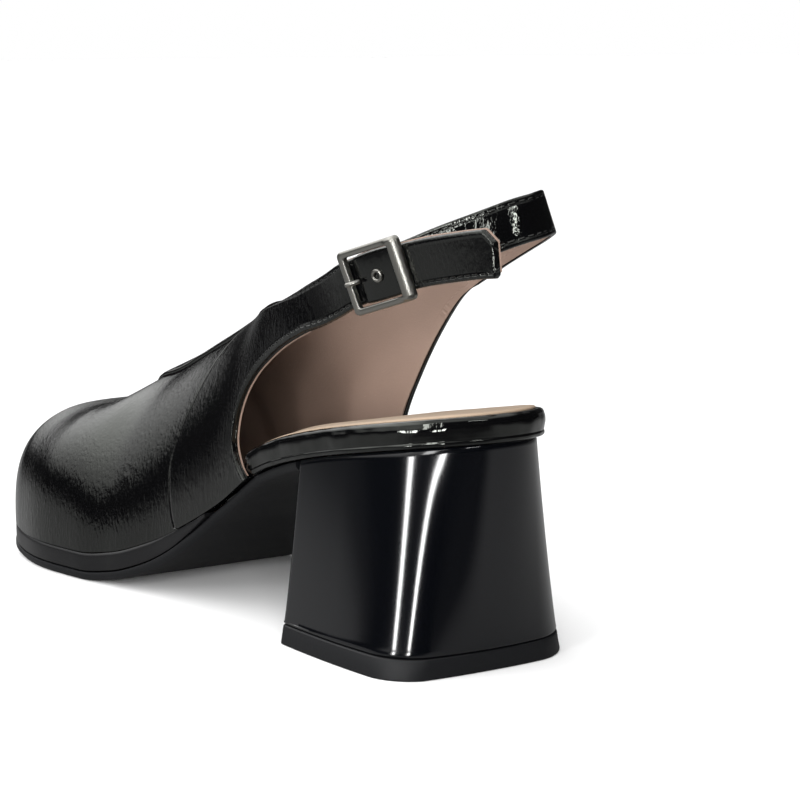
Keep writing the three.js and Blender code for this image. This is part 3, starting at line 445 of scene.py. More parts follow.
class Ribbon:
    """A panel of the upper from its foot to the free end of its strap, as ribs from its rear to its front edge."""

    def __init__(self, last, rear, front, strap, wide, blend, tip=(0.0, 0.0), thin=1.0, puff=None,
                 quarter_ribs=110, strap_ribs=130):
        self.last, self.strap, self.wide = last, strap, wide
        self.blend, self.tip, self.thin, self.puff = blend, tip, thin, puff
        self.rear, self.front = self.match(rear, quarter_ribs), self.match(front, quarter_ribs)
        self.seam_ribs = int(round(quarter_ribs * front[0][1])) + 1
        middle = last.point((self.rear[:, 0] + self.front[:, 0]) / 2, (self.rear[:, 1] + self.front[:, 1]) / 2, 1.6)
        self.quarter_run = strap.run_at_x(middle[:, 0])
        start = self.quarter_run[-1]
        close = strap.long - np.array([0.8, 0.5, 0.25, 0.08, 0.0])
        self.strap_run = np.concatenate([np.linspace(start, close[0], strap_ribs + 1)[1:-1], close])

    @staticmethod
    def match(pieces, ribs):
        """Joins lines in the last's own terms, with the share of the ribs that each takes."""
        out = []
        for line, share in pieces:
            count = int(round(ribs * share)) + 1
            out.append(evenly(line, count)[(1 if out else 0):])
        return np.concatenate(out)

    def surface(self, low, high, inset=0.0, roll=0.7, foot=0.0, skip=0, side=PLAIN, raised=0.0, groove=0.0):
        """Rows of points round the panel between two growths of the last, with the maps of both edges."""
        last = self.last
        rows, runs, edges = [], [], []
        runs_low = runs_high = 0.0
        before = None
        total = len(self.rear) + len(self.strap_run)
        for k in range(skip, total):
            if k < len(self.rear):
                rear, front = self.rear[k], self.front[k]
                along = np.linspace(0, 1, 25)
                path = last.point(rear[0] + (front[0] - rear[0]) * along, rear[1] + (front[1] - rear[1]) * along, 1.6)
                long = np.linalg.norm(np.diff(path, axis=0), axis=1).sum()
                run = self.quarter_run[k]
                middle = (rear[0] + front[0]) / 2
                weight = float(1 - ease(middle, *self.blend))
            else:
                rear = front = None
                run = self.strap_run[k - len(self.rear)]
                long, weight = self.wide, 1.0
                left = self.strap.long - run
                cut_low, cut_high = (max(0.0, reach - left) for reach in self.tip)
                long = self.wide - cut_low - cut_high
                shift = (cut_low - cut_high) / 2
            in_buckle = bool(self.puff) and rear is None and abs(run - self.puff) < 7.5
            if in_buckle:
                swell = (1 - ((run - self.puff) / 7.5) ** 2) ** 0.5
                long += 1.1 * swell
            d = edge_steps(long - 2 * inset, roll) + inset
            drop = rolled(d - inset, roll) + rolled(long - inset - d, roll)
            if rear is None:
                drop = drop + rolled(np.full(len(d), self.strap.long - run), roll)
                if in_buckle:
                    drop = drop - 0.8 * swell * np.sin(np.pi * d / long) ** 0.5
            if groove and k < self.seam_ribs:
                fade = float(ease(self.seam_ribs - k, 0, 12))
                drop = drop + groove * fade * np.exp(-((long - inset - d - 1.0) / 0.35) ** 2)
            top = high - drop
            top = np.concatenate([low + (top[0] - low) * side[:, 1], top, low + (top[-1] - low) * side[::-1, 1]])
            t = np.concatenate([inset + side[:, 0], d, long - inset - side[::-1, 0]]) / long
            floor = low
            if foot and k < 8:
                floor = low - foot * (1 - k / 8)
            under_t = np.linspace(t[-1], t[0], 24)[1:-1]
            t_all = np.concatenate([t, under_t])
            grow = np.concatenate([top, np.full(len(under_t), floor)])
            if rear is not None:
                body = last.point(rear[0] + (front[0] - rear[0]) * t_all, rear[1] + (front[1] - rear[1]) * t_all, grow)
            if weight > 0:
                centre, _, up, out = self.strap.at(run)
                width = long if rear is None else self.wide
                band = (centre + up * ((t_all - 0.5) * width + raised + (0 if rear is not None else shift))[:, None]
                        + out * ((grow - 1.6) * self.thin)[:, None])
            if weight == 0:
                points = body
            elif rear is None:
                points = band
            else:
                points = body * (1 - weight) + band * weight
            if before is not None:
                runs_low += np.linalg.norm(points[0] - before[0])
                runs_high += np.linalg.norm(points[len(t) - 1] - before[len(t) - 1])
            before = points
            rows.append(points)
            n, wall = len(t_all), len(side)
            face = np.concatenate([[0], np.cumsum(np.linalg.norm(np.diff(points[:len(t)], axis=0), axis=1))])
            back = np.concatenate([points[len(t) - 1:], points[:1]])
            back = np.cumsum(np.linalg.norm(np.diff(back, axis=0), axis=1))
            from_rear = np.concatenate([np.maximum(face - face[wall], 0), back[-1] - back[:-1]])
            from_front = np.concatenate([np.maximum(face[-1 - wall] - face, 0), back[:-1]])
            runs.append(np.stack([np.full(n, runs_low), np.full(n, runs_high)], -1) * 0.001)
            hide_low = 20 if in_buckle else 0
            hide_high = 20 if in_buckle or k < self.seam_ribs else 0
            edges.append(np.stack([from_rear + hide_low, from_front + hide_high], -1) * 0.001)
        return np.array(rows), np.array(runs), np.array(edges)


def lines_of(last, rows, side):
    flat = through(rows, 60)
    around = last.around_at(flat[:, 0], flat[:, 1], side)
    return np.stack([flat[:, 0], around], 1)


def buckle_run(strap):
    """How far along its strap the buckle sits."""
    low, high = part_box("buckle_frame")
    middle = np.array([(a + b) / 2 for a, b in zip(low, high)]) * 1000 + ORIGIN
    return strap.run[np.argmin(np.linalg.norm(strap.line - middle, axis=1))]


def lateral_ribbon(last):
    rear = lines_of(last, LATERAL_REAR, 1)
    seam = lines_of(last, LATERAL_SEAM, 1)
    top = lines_of(last, LATERAL_TOP, 1)
    rear[0, 1] = seam[0, 1] = 1
    turn = int(np.argmax(rear[:, 0]))
    strap = StrapLine(last, STRAP)
    return Ribbon(last, [(rear[:turn + 1], 0.62), (rear[turn:], 0.38)], [(seam, 0.62), (top, 0.38)],
                  strap, 12.8, (0.2, 0.26), tip=(0.8, 3.4), puff=buckle_run(strap))


def medial_ribbon(last):
    rear = lines_of(last, MEDIAL_REAR, -1)
    seam = lines_of(last, MEDIAL_SEAM, -1)
    reach = through(MEDIAL_REACH, 60)
    reach = np.stack([reach[:, 0], last.across_at(reach[:, 0], reach[:, 1] * last.ball_wide)], 1)
    top = lines_of(last, MEDIAL_TOP, -1)
    rear[0, 1] = seam[0, 1] = -1
    corner = through(np.array([seam[-1], [0.751, -0.06], reach[0]]), 12)
    throat = evenly(np.array([reach[-1], top[0]]), 8)
    front = np.concatenate([seam, corner[1:], reach[1:]])
    edge = np.concatenate([throat, top[1:]])
    turn = 34
    strap = StrapLine(last, SLING)
    return Ribbon(last, [(rear[:turn + 1], 0.66), (rear[turn:], 0.34)], [(front, 0.66), (edge, 0.34)],
                  strap, 12.4, (0.19, 0.25), thin=2.0 / 2.6)


# Materials

def node_tree(material):
    material.use_nodes = True
    tree = material.node_tree
    tree.nodes.clear()
    out = tree.nodes.new("ShaderNodeOutputMaterial")
    shader = tree.nodes.new("ShaderNodeBsdfPrincipled")
    tree.links.new(shader.outputs[0], out.inputs["Surface"])
    return tree, shader


def add(tree, kind, **values):
    node = tree.nodes.new(kind)
    for key, value in values.items():
        if hasattr(node, key):
            setattr(node, key, value)
        else:
            node.inputs[key.replace("_", " ")].default_value = value
    return node


def maths(tree, operation, a, b=None, c=None):
    node = tree.nodes.new("ShaderNodeMath")
    node.operation = operation
    for k, v in enumerate((a, b, c)):
        if v is None:
            continue
        if isinstance(v, (int, float)):
            node.inputs[k].default_value = v
        else:
            tree.links.new(v, node.inputs[k])
    return node.outputs[0]


def stitch_group(pitch):
    """A row of stitches beside an edge: its height, from the run along the edge and the distance from it."""
    group = bpy.data.node_groups.new("Stitch row", "ShaderNodeTree")
    face = group.interface
    for name, kind, value in (("Run", "NodeSocketFloat", 0.0), ("Distance", "NodeSocketFloat", 0.0),
                              ("Offset", "NodeSocketFloat", 0.0016), ("Pitch", "NodeSocketFloat", pitch)):
        socket = face.new_socket(name, in_out="INPUT", socket_type=kind)
        socket.default_value = value
    face.new_socket("Height", in_out="OUTPUT", socket_type="NodeSocketFloat")
    face.new_socket("Thread", in_out="OUTPUT", socket_type="NodeSocketFloat")
    start = group.nodes.new("NodeGroupInput")
    end = group.nodes.new("NodeGroupOutput")
    off = maths(group, "ABSOLUTE", maths(group, "SUBTRACT", start.outputs["Distance"], start.outputs["Offset"]))
    across = maths(group, "SUBTRACT", 1.0, maths(group, "DIVIDE", off, 0.00034))
    across = maths(group, "MAXIMUM", across, 0.0)
    phase = maths(group, "FRACT", maths(group, "DIVIDE", start.outputs["Run"], start.outputs["Pitch"]))
    mid = maths(group, "ABSOLUTE", maths(group, "SUBTRACT", phase, 0.5))
    dash = maths(group, "MULTIPLY", maths(group, "SUBTRACT", 0.36, mid), 8.0)
    dash.node.use_clamp = True
    thread = maths(group, "MULTIPLY", maths(group, "POWER", across, 0.6), dash)
    trough = maths(group, "SUBTRACT", 1.0, maths(group, "DIVIDE", off, 0.0007))
    trough = maths(group, "MAXIMUM", trough, 0.0)
    height = maths(group, "SUBTRACT", maths(group, "MULTIPLY", thread, 1.3), maths(group, "MULTIPLY", trough, 0.8))
    group.links.new(height, end.inputs["Height"])
    group.links.new(thread, end.inputs["Thread"])
    return group


def crinkle_group():
    """The fine crinkle of patent leather: soft long wrinkles with a finer grain between them."""
    group = bpy.data.node_groups.new("Patent crinkle", "ShaderNodeTree")
    face = group.interface
    vector = face.new_socket("Vector", in_out="INPUT", socket_type="NodeSocketVector")
    vector.hide_value = True
    for name, value in (("Scale", 560.0), ("Stretch", 0.33)):
        face.new_socket(name, in_out="INPUT", socket_type="NodeSocketFloat").default_value = value
    face.new_socket("Height", in_out="OUTPUT", socket_type="NodeSocketFloat")
    start = group.nodes.new("NodeGroupInput")
    end = group.nodes.new("NodeGroupOutput")
    scale = group.nodes.new("ShaderNodeCombineXYZ")
    group.links.new(start.outputs["Stretch"], scale.inputs[2])
    scale.inputs[0].default_value = 1.0
    scale.inputs[1].default_value = 1.0
    mapped = group.nodes.new("ShaderNodeVectorMath")
    mapped.operation = "MULTIPLY"
    group.links.new(start.outputs["Vector"], mapped.inputs[0])
    group.links.new(scale.outputs[0], mapped.inputs[1])
    warp = add(group, "ShaderNodeTexNoise", Scale=90.0, Detail=2.0)
    group.links.new(mapped.outputs[0], warp.inputs["Vector"])
    shift = group.nodes.new("ShaderNodeVectorMath")
    shift.operation = "MULTIPLY_ADD"
    shift.inputs[1].default_value = (0.004, 0.004, 0.004)
    group.links.new(warp.outputs["Color"], shift.inputs[0])
    group.links.new(mapped.outputs[0], shift.inputs[2])
    coarse = add(group, "ShaderNodeTexNoise", Detail=3.0, Roughness=0.55)
    group.links.new(shift.outputs[0], coarse.inputs["Vector"])
    group.links.new(start.outputs["Scale"], coarse.inputs["Scale"])
    fine = add(group, "ShaderNodeTexNoise", Detail=2.0)
    group.links.new(shift.outputs[0], fine.inputs["Vector"])
    group.links.new(maths(group, "MULTIPLY", start.outputs["Scale"], 2.7), fine.inputs["Scale"])
    ridged = maths(group, "ABSOLUTE", maths(group, "SUBTRACT", coarse.outputs[0], 0.5))
    height = maths(group, "ADD", maths(group, "MULTIPLY", ridged, 1.6), maths(group, "MULTIPLY", fine.outputs[0], 0.12))
    group.links.new(height, end.inputs["Height"])
    return group


def placed_group(tree, group, links, **values):
    node = tree.nodes.new("ShaderNodeGroup")
    node.node_tree = group
    for name, value in values.items():
        node.inputs[name].default_value = value
    for name, source in links.items():
        tree.links.new(source, node.inputs[name])
    return node


def edge_distances(tree):
    """The run and the distance from the edge, for both edges of a panel, from its two maps."""
    run = add(tree, "ShaderNodeUVMap", uv_map="run")
    away = add(tree, "ShaderNodeUVMap", uv_map="edges")
    parts = []
    for node in (run, away):
        split = tree.nodes.new("ShaderNodeSeparateXYZ")
        tree.links.new(node.outputs[0], split.inputs[0])
        parts.append(split)
    return ((parts[0].outputs[0], parts[1].outputs[0]), (parts[0].outputs[1], parts[1].outputs[1]))


def patent_material(name, colours, stitches, crinkle, edge_crinkle=0.0, rough=0.07, lumps=0.0):
    material = bpy.data.materials.new(name)
    tree, shader = node_tree(material)
    shader.inputs["Base Color"].default_value = (*colours.patent, 1)
    shader.inputs["Roughness"].default_value = rough
    shader.inputs["IOR"].default_value = 1.5
    shader.inputs["Specular Tint"].default_value = (0.96, 1.0, 0.92, 1)
    coords = tree.nodes.new("ShaderNodeTexCoord")
    wrinkle = placed_group(tree, CRINKLE["patent"], {"Vector": coords.outputs["Object"]})
    strength = crinkle
    if edge_crinkle:
        (_, low), (_, high) = edge_distances(tree)
        near = maths(tree, "MINIMUM", low, high)
        share = maths(tree, "SUBTRACT", 1.0, maths(tree, "DIVIDE", near, 0.016))
        share = maths(tree, "MAXIMUM", share, 0.0)
        strength = maths(tree, "ADD", maths(tree, "MULTIPLY", share, edge_crinkle), crinkle)
    height = maths(tree, "MULTIPLY", wrinkle.outputs["Height"], strength)
    if lumps:
        swell = add(tree, "ShaderNodeTexNoise", Scale=120.0, Detail=1.0)
        tree.links.new(coords.outputs["Object"], swell.inputs["Vector"])
        height = maths(tree, "ADD", height, maths(tree, "MULTIPLY", swell.outputs[0], lumps))
    if stitches:
        for (run, away), offset in zip(edge_distances(tree), stitches):
            if offset:
                row = placed_group(tree, CRINKLE["stitch"], {"Run": run, "Distance": away}, Offset=offset)
                height = maths(tree, "ADD", height, maths(tree, "MULTIPLY", row.outputs["Height"], 0.00016))
    bump = add(tree, "ShaderNodeBump", Strength=1.0, Distance=1.0)
    tree.links.new(height, bump.inputs["Height"])
    tree.links.new(bump.outputs[0], shader.inputs["Normal"])
    return material


def leather_material(name, base, stitches=None, rough=0.62):
    material = bpy.data.materials.new(name)
    tree, shader = node_tree(material)
    shader.inputs["Roughness"].default_value = rough
    coords = tree.nodes.new("ShaderNodeTexCoord")
    cloud = add(tree, "ShaderNodeTexNoise", Scale=45.0, Detail=5.0, Roughness=0.6)
    pores = add(tree, "ShaderNodeTexNoise", Scale=1500.0, Detail=3.0)
    for node in (cloud, pores):
        tree.links.new(coords.outputs["Object"], node.inputs["Vector"])
    tint = tree.nodes.new("ShaderNodeMix")
    tint.data_type = "RGBA"
    tint.inputs[6].default_value = (*(c * 0.86 for c in base), 1)
    tint.inputs[7].default_value = (*(min(1.0, c * 1.12) for c in base), 1)
    tree.links.new(cloud.outputs[0], tint.inputs[0])
    tree.links.new(tint.outputs[2], shader.inputs["Base Color"])
    height = maths(tree, "MULTIPLY", pores.outputs[0], 0.00012)
    if stitches:
        for (run, away), offset in zip(edge_distances(tree), stitches):
            if offset:
                row = placed_group(tree, CRINKLE["stitch"], {"Run": run, "Distance": away}, Offset=offset)
                height = maths(tree, "ADD", height, maths(tree, "MULTIPLY", row.outputs["Height"], 0.0002))
    bump = add(tree, "ShaderNodeBump", Strength=0.6, Distance=1.0)
    tree.links.new(height, bump.inputs["Height"])
    tree.links.new(bump.outputs[0], shader.inputs["Normal"])
    return material


def plain_material(name, base, rough, bump_height=0.0, bump_scale=400.0, metal=0.0, shine=0.5):
    material = bpy.data.materials.new(name)
    tree, shader = node_tree(material)
    shader.inputs["Base Color"].default_value = (*base, 1)
    shader.inputs["Roughness"].default_value = rough
    shader.inputs["Metallic"].default_value = metal
    shader.inputs["Specular IOR Level"].default_value = shine
    if bump_height:
        coords = tree.nodes.new("ShaderNodeTexCoord")
        grain = add(tree, "ShaderNodeTexNoise", Scale=bump_scale, Detail=4.0)
        tree.links.new(coords.outputs["Object"], grain.inputs["Vector"])
        bump = add(tree, "ShaderNodeBump", Strength=1.0, Distance=1.0)
        tree.links.new(maths(tree, "MULTIPLY", grain.outputs[0], bump_height), bump.inputs["Height"])
        tree.links.new(bump.outputs[0], shader.inputs["Normal"])
    return material


CRINKLE = {}
FINISH = {}


def make_materials(sizes, colours):
    CRINKLE["patent"] = crinkle_group()
    CRINKLE["stitch"] = stitch_group(sizes.stitch_pitch)
    FINISH["vamp"] = patent_material("Patent vamp", colours, None, 0.00016)
    FINISH["strap"] = patent_material("Patent strap", colours, (0.0017, 0.0017), 0.00012, 0.00012)
    FINISH["sling"] = patent_material("Patent sling", colours, (0.0017, 0.0017), 0.00006, 0.00005, rough=0.05,
                                      lumps=0.0007)
    FINISH["rim"] = patent_material("Patent rim", colours, None, 0.00003, rough=0.05, lumps=0.0008)
    FINISH["lining"] = leather_material("Lining leather", colours.lining, (0.0022, 0.0022))
    FINISH["sock"] = leather_material("Sock leather", colours.sock, rough=0.7)
    FINISH["band"] = plain_material("Platform band", colours.band, 0.34, 0.00002, 900.0, shine=0.3)
    FINISH["rubber"] = plain_material("Sole rubber", colours.rubber, 0.5, 0.00004, 700.0, shine=0.25)
    FINISH["lacquer"] = plain_material("Heel lacquer", colours.lacquer, 0.12, 0.000004, 1600.0)
    FINISH["metal"] = plain_material("Aged silver", colours.metal, 0.3, 0.00003, 900.0, metal=1.0)


# Sole, heel and metal shapes

def board_thick(last, at):
    return last.rim + (4.0 - last.rim) * ease(at, 0.36, 0.47)


DISH = 1 - 0.6 / 7.6
RIM_END = {1: (0.348, 0.368), -1: (0.3465, 0.3465)}


def board_edge(last, at, side, level):
    inside = -(WAIST_INSET + (TOE_INSET - WAIST_INSET) * ease(at, 0.5, 0.75) + last.wall + 0.4)
    low, high = RIM_END[side]
    end = low + (high - low) * level
    return EDGE_PROUD + (inside - EDGE_PROUD) * ease(at, end - 0.008, end)


def turn_at(at):
    return math.acos(1 - 2 * at)


def swept_edge(last, turns_sides, profile, base_at, edge_at):
    """Rows of a profile carried along the sole's edge; profile gives pairs of outward and height."""
    rows = []
    for turn, side in turns_sides:
        at = (1 - math.cos(turn)) / 2
        row = []
        for out, high, level in profile(at, side):
            x, y = last.edge(np.array([turn]), side, np.array([edge_at(at, side, level) + out]))[0]
            row.append((x, y, base_at(at) + high))
        rows.append(row)
    return rows


def plate_rows(last, turns, profile, edge_at, bottom_at, top_at, across=24, crown_at=None):
    """Rows across a plate that follows the sole, from its lateral to its medial edge and back underneath."""
    rows = []
    for turn in turns:
        at = (1 - math.cos(turn)) / 2
        low, high = bottom_at(at), top_at(at)
        sides = {}
        for side in (1, -1):
            line = []
            for inset, level in profile:
                x, y = last.edge(np.array([turn]), side, np.array([edge_at(at, side) - inset]))[0]
                line.append((x, y, low + (high - low) * level))
            sides[side] = np.array(line)
        share = np.linspace(0, 1, across)[1:-1, None]
        top = sides[1][-1] + (sides[-1][-1] - sides[1][-1]) * share
        if crown_at:
            width = np.linalg.norm(sides[-1][-1] - sides[1][-1])
            top[:, 2] += crown_at(at, share[:, 0] * width, width)
        under = sides[-1][0] + (sides[1][0] - sides[-1][0]) * share
        rows.append(np.concatenate([sides[1], top, sides[-1][::-1], under]))
    return rows


def rounded_path(corners, radius, per_corner=10, per_side=24):
    """Matched points round a rectangle with round corners, the same number on each side."""
    (x0, y0), (x1, y1) = corners
    out = []
    spots = [((x1 - radius, y1 - radius), 0), ((x0 + radius, y1 - radius), 90), ((x0 + radius, y0 + radius), 180),
             ((x1 - radius, y0 + radius), 270)]
    for k, ((cx, cy), start) in enumerate(spots):
        for a in np.radians(np.linspace(start, start + 90, per_corner)):
            out.append((cx + radius * math.cos(a), cy + radius * math.sin(a)))
        (nx, ny), n_start = spots[(k + 1) % 4]
        a = np.array(out[-1])
        b = np.array((nx + radius * math.cos(math.radians(n_start)), ny + radius * math.sin(math.radians(n_start))))
        out += [tuple(a + (b - a) * t) for t in np.linspace(0, 1, per_side)[1:-1]]
    return np.array(out)


def heel_paths(last, count=300):
    front, half, chamfer = 5.2 + 58, 63.7 / 2, 1.6
    base = [(front, -half + chamfer)]
    base += [(front - chamfer + chamfer * math.cos(a), -half + chamfer + chamfer * math.sin(a))
             for a in np.radians(np.linspace(0, -90, 7))]
    for side, low, high, deep, wide in ((-1, -90, -180, 16, 16), (1, 180, 90, 12.5, 10)):
        centre = (5.2 + deep, side * (half - wide))
        base += [(centre[0] + deep * math.cos(a), centre[1] + wide * math.sin(a))
                 for a in np.radians(np.linspace(low, high, 24))]
    base += [(front - chamfer + chamfer * math.cos(a), half - chamfer + chamfer * math.sin(a))
             for a in np.radians(np.linspace(90, 0, 7))]
    base = evenly(np.array(base), count)
    across = base[:, 1] / half
    along = 2 * (base[:, 0] - 5.2) / 58 - 1
    back = np.clip((front - base[:, 0]) / 58, 0, 1)
    base = np.stack([base[:, 0] - 2.2 * (1 - across ** 2) * back ** 2,
                     base[:, 1] + 1.1 * (1 - along ** 2) * across + 1.9], 1)
    end = turn_at(58 / last.long)
    ring = []
    for k in range(-60, 61):
        side = -1 if k < 0 else 1
        ring.append(last.edge(np.array([end * abs(k) / 60]), side, np.array([-1.3]))[0])
    ring = np.array(ring)
    first, final = ring[0], ring[-1]

    def round_corner(p, sign):
        c = np.array([60 - 2.0, p[1] - sign * 2.0])
        return [c + 2.0 * np.array([math.cos(a), sign * math.sin(a)]) for a in np.radians(np.linspace(0, 80, 6))]

    top = np.array(round_corner(first, -1) + list(ring) + round_corner(final, 1)[::-1])
    return base, evenly(top, count)


def heel_ring(last, paths, share):
    base, top = paths
    spread = share ** (1 / 1.25)
    flat = base + (top - base) * spread
    high = (last.feather(top[:, 0] / last.long) - GAP) * share
    return np.column_stack([flat, high])


def inset_ring(ring, amount):
    ahead = np.roll(ring[:, :2], -1, 0) - np.roll(ring[:, :2], 1, 0)
    ahead /= np.linalg.norm(ahead, axis=1)[:, None]
    normal = np.stack([ahead[:, 1], -ahead[:, 0]], 1)
    centre = ring[:, :2].mean(0)
    if ((ring[:, :2] - centre) * normal).sum() < 0:
        normal = -normal
    out = ring.copy()
    out[:, :2] -= normal * amount
    return out


# Building steps, one for each piece or group

def layer(name, material, slot, shape):
    rows, runs, edges = shape
    obj = grid_at(name, rows, closed=True, caps=True, maps={"run": runs, "edges": edges})
    return finish(obj, material, slot)


class Step(Operator):
    bl_options = {"REGISTER", "UNDO"}

    def execute(self, context):
        scene = context.scene
        self.build(context, Last(scene.shoe_sizes), scene.shoe_sizes, scene.shoe_colours)
        return {"FINISHED"}


class SHOE_OT_vamp(Step):
    """Builds the vamp over the toe and the ball"""
    bl_idname = "shoe.vamp"
    bl_label = "Vamp"

    def build(self, context, last, sizes, colours):
        turns = np.concatenate([np.linspace(turn_at(0.485), turn_at(0.9), 110)[:-1],
                                np.linspace(turn_at(0.9), math.pi, 70)])
        ats = (1 - np.cos(turns)) / 2
        around = np.linspace(1, -1, 150)
        rows, first = [], True
        for at in ats:
            outer = last.point(at, around, 1.1 if first else 1.6)
            inner = last.point(at, around[::-1], 1.1 if first else 0.5)
            rows.append(np.concatenate([outer, inner]))
            first = False
        bands = np.array([0] * 149 + [0] + [1] * 149 + [0])
        obj = grid_at("vamp", rows, closed=True, bands=bands)
        finish(obj, [FINISH["vamp"], FINISH["lining"]], "patent", "upper")


class SHOE_OT_lateral_quarter(Step):
    """Builds the lateral quarter with the strap that passes through the buckle"""
    bl_idname = "shoe.lateral_quarter"
    bl_label = "Lateral Quarter"

    def build(self, context, last, sizes, colours):
        ribbon = lateral_ribbon(last)
        layer("lateral_quarter", FINISH["strap"], "patent",
              ribbon.surface(0.9, 2.9, roll=0.75, foot=1.1, side=FOLD, groove=0.3))
        layer("lateral_lining", FINISH["lining"], "sock_leather",
              ribbon.surface(0.2, 0.86, inset=0.35, roll=0.25, skip=9, raised=0.6))


class SHOE_OT_medial_quarter(Step):
    """Builds the medial quarter with the sling round the heel"""
    bl_idname = "shoe.medial_quarter"
    bl_label = "Medial Quarter"

    def build(self, context, last, sizes, colours):
        ribbon = medial_ribbon(last)
        layer("medial_quarter", FINISH["sling"], "patent", ribbon.surface(0.9, 2.9, roll=0.75, foot=1.1, side=FOLD))
        layer("medial_lining", FINISH["lining"], "sock_leather", ribbon.surface(0.2, 0.86, inset=0.35, roll=0.25, skip=3))


class SHOE_OT_seat(Step):
    """Builds the wrapped rim of the seat and the padded sock"""
    bl_idname = "shoe.seat"
    bl_label = "Seat and Sock"

    def build(self, context, last, sizes, colours):
        end = turn_at(0.42)
        turns = [(t, 1) for t in np.linspace(end, 0, 150)] + [(t, -1) for t in np.linspace(0, end, 150)[1:]]

        def profile(at, side):
            h = board_thick(last, at)
            outline = [(-5.0, 0.0), (-0.9, 0.0), (-0.35, 0.05), (-0.1, 0.25), (0.08, 0.6), (0.12, 0.95), (0.05, 1.3),
                       (-0.1, 1.5), (-0.12, 1.62), (-0.02, 1.85), (0.0, 2.4)]
            rows = [(o, z, 0.1) for o, z in outline]
            rows[-1] = (0.05, 2.4, 0.1)
            rows += [(0.05 + 0.3 * math.sin(math.pi * (s - 0.32) / 0.52), h * s, s)
                     for s in (0.38, 0.45, 0.52, 0.6, 0.68, 0.75)]
            centre, radius = h - 1.5, 1.5
            rows += [(-radius + radius * math.cos(a), centre + radius * math.sin(a), 0.9)
                     for a in np.radians(np.linspace(5, 90, 10))]
            rows += [(-2.0, h - 0.25, 1.0), (-2.5, h - 0.7, 1.0), (-5.0, h - 0.9, 1.0)]
            return rows

        rim = swept_edge(last, turns, profile, last.feather, lambda at, s, level: board_edge(last, at, s, level))
        obj = grid_at("seat_rim", rim, closed=True, caps=True)
        finish(obj, FINISH["rim"], "patent", "insole_board")

        def edge(at, side):
            return board_edge(last, at, side, DISH) - 2.4

        def crown(at, across, width):
            near = np.minimum(across, width - across)
            return last.crown(at) * stairs(near / 9)

        def bottom(at):
            return last.feather(at) + DISH * board_thick(last, at) + GAP

        sock_turns = np.linspace(0, turn_at(0.9), 170)
        rounding = [(0.3, 0.0), (0.05, 0.2), (0.0, 0.45), (0.1, 0.72), (0.45, 0.93), (1.2, 1.0)]
        rows = plate_rows(last, sock_turns, rounding, edge, bottom, lambda at: bottom(at) + 0.9, 60, crown)
        finish(grid_at("sock_pad", rows, closed=True, caps=True), FINISH["sock"], "sock_leather", "sock")


class SHOE_OT_sole(Step):
    """Builds the platform band and the outsole"""
    bl_idname = "shoe.sole"
    bl_label = "Band and Outsole"

    def build(self, context, last, sizes, colours):
        turns = np.linspace(turn_at(0.45), math.pi, 200)
        shape = [(0.5, 0.0), (0.12, 0.04), (0.0, 0.12), (0.0, 0.5), (0.0, 0.8), (0.15, 0.92), (0.6, 1.0)]
        rows = plate_rows(last, turns, shape, lambda at, s: EDGE_PROUD,
                          lambda at: last.feather(at) - last.band * last.band_share(at),
                          lambda at: last.feather(at) - GAP)
        finish(grid_at("band_wrap", rows, closed=True, caps=True), FINISH["band"], "band", "platform_band")
        turns = np.linspace(turn_at(61.2 / last.long), math.pi, 240)
        shape = [(1.6, 0.0), (0.9, 0.12), (0.25, 0.38), (0.0, 0.55), (0.0, 0.85), (0.12, 0.96), (0.45, 1.0)]

        def under(at):
            return last.feather(at) - last.band * last.band_share(at) - GAP

        rows = plate_rows(last, turns, shape,
                          lambda at, s: -1.5 + (EDGE_PROUD + 0.2 + 1.5) * float(ease(at, 0.4, 0.54)),
                          lambda at: under(at) - last.sole, under)
        finish(grid_at("outsole_sheet", rows, closed=True, caps=True), FINISH["rubber"], "sole_rubber", "outsole")


class SHOE_OT_heel(Step):
    """Builds the flared heel block and its lift"""
    bl_idname = "shoe.heel"
    bl_label = "Heel"

    def build(self, context, last, sizes, colours):
        paths = heel_paths(last)
        foot = 6.1 / last.seat
        shares = np.concatenate([[foot, foot, foot + 0.004, foot + 0.01], np.linspace(foot + 0.03, 0.97, 50),
                                 [0.99, 1.0, 1.0]])
        insets = [0.9, 0.35, 0.1, 0.0] + [0.0] * 51 + [0.3, 1.2]
        rows = []
        for share, inset in zip(shares, insets):
            ring = heel_ring(last, paths, share)
            if share < foot + 0.02:
                ring[:, 2] = 6.1 + (share - foot) * last.seat
            rows.append(inset_ring(ring, inset))
        finish(grid_at("heel_body", rows, closed=True, caps=True), FINISH["lacquer"], "heel_lacquer", "heel_block")
        rows = []
        for high, inset in ((0, 1.0), (0.06, 0.5), (0.25, 0.15), (0.6, 0.0), (3.0, 0.0), (5.3, 0.0), (5.6, 0.1),
                            (5.75, 0.3), (5.8, 0.9)):
            ring = heel_ring(last, paths, high / last.seat)
            ring[:, 2] = high
            rows.append(inset_ring(ring, inset))
        finish(grid_at("heel_tip", rows, closed=True, caps=True), FINISH["rubber"], "sole_rubber", "heel_lift")


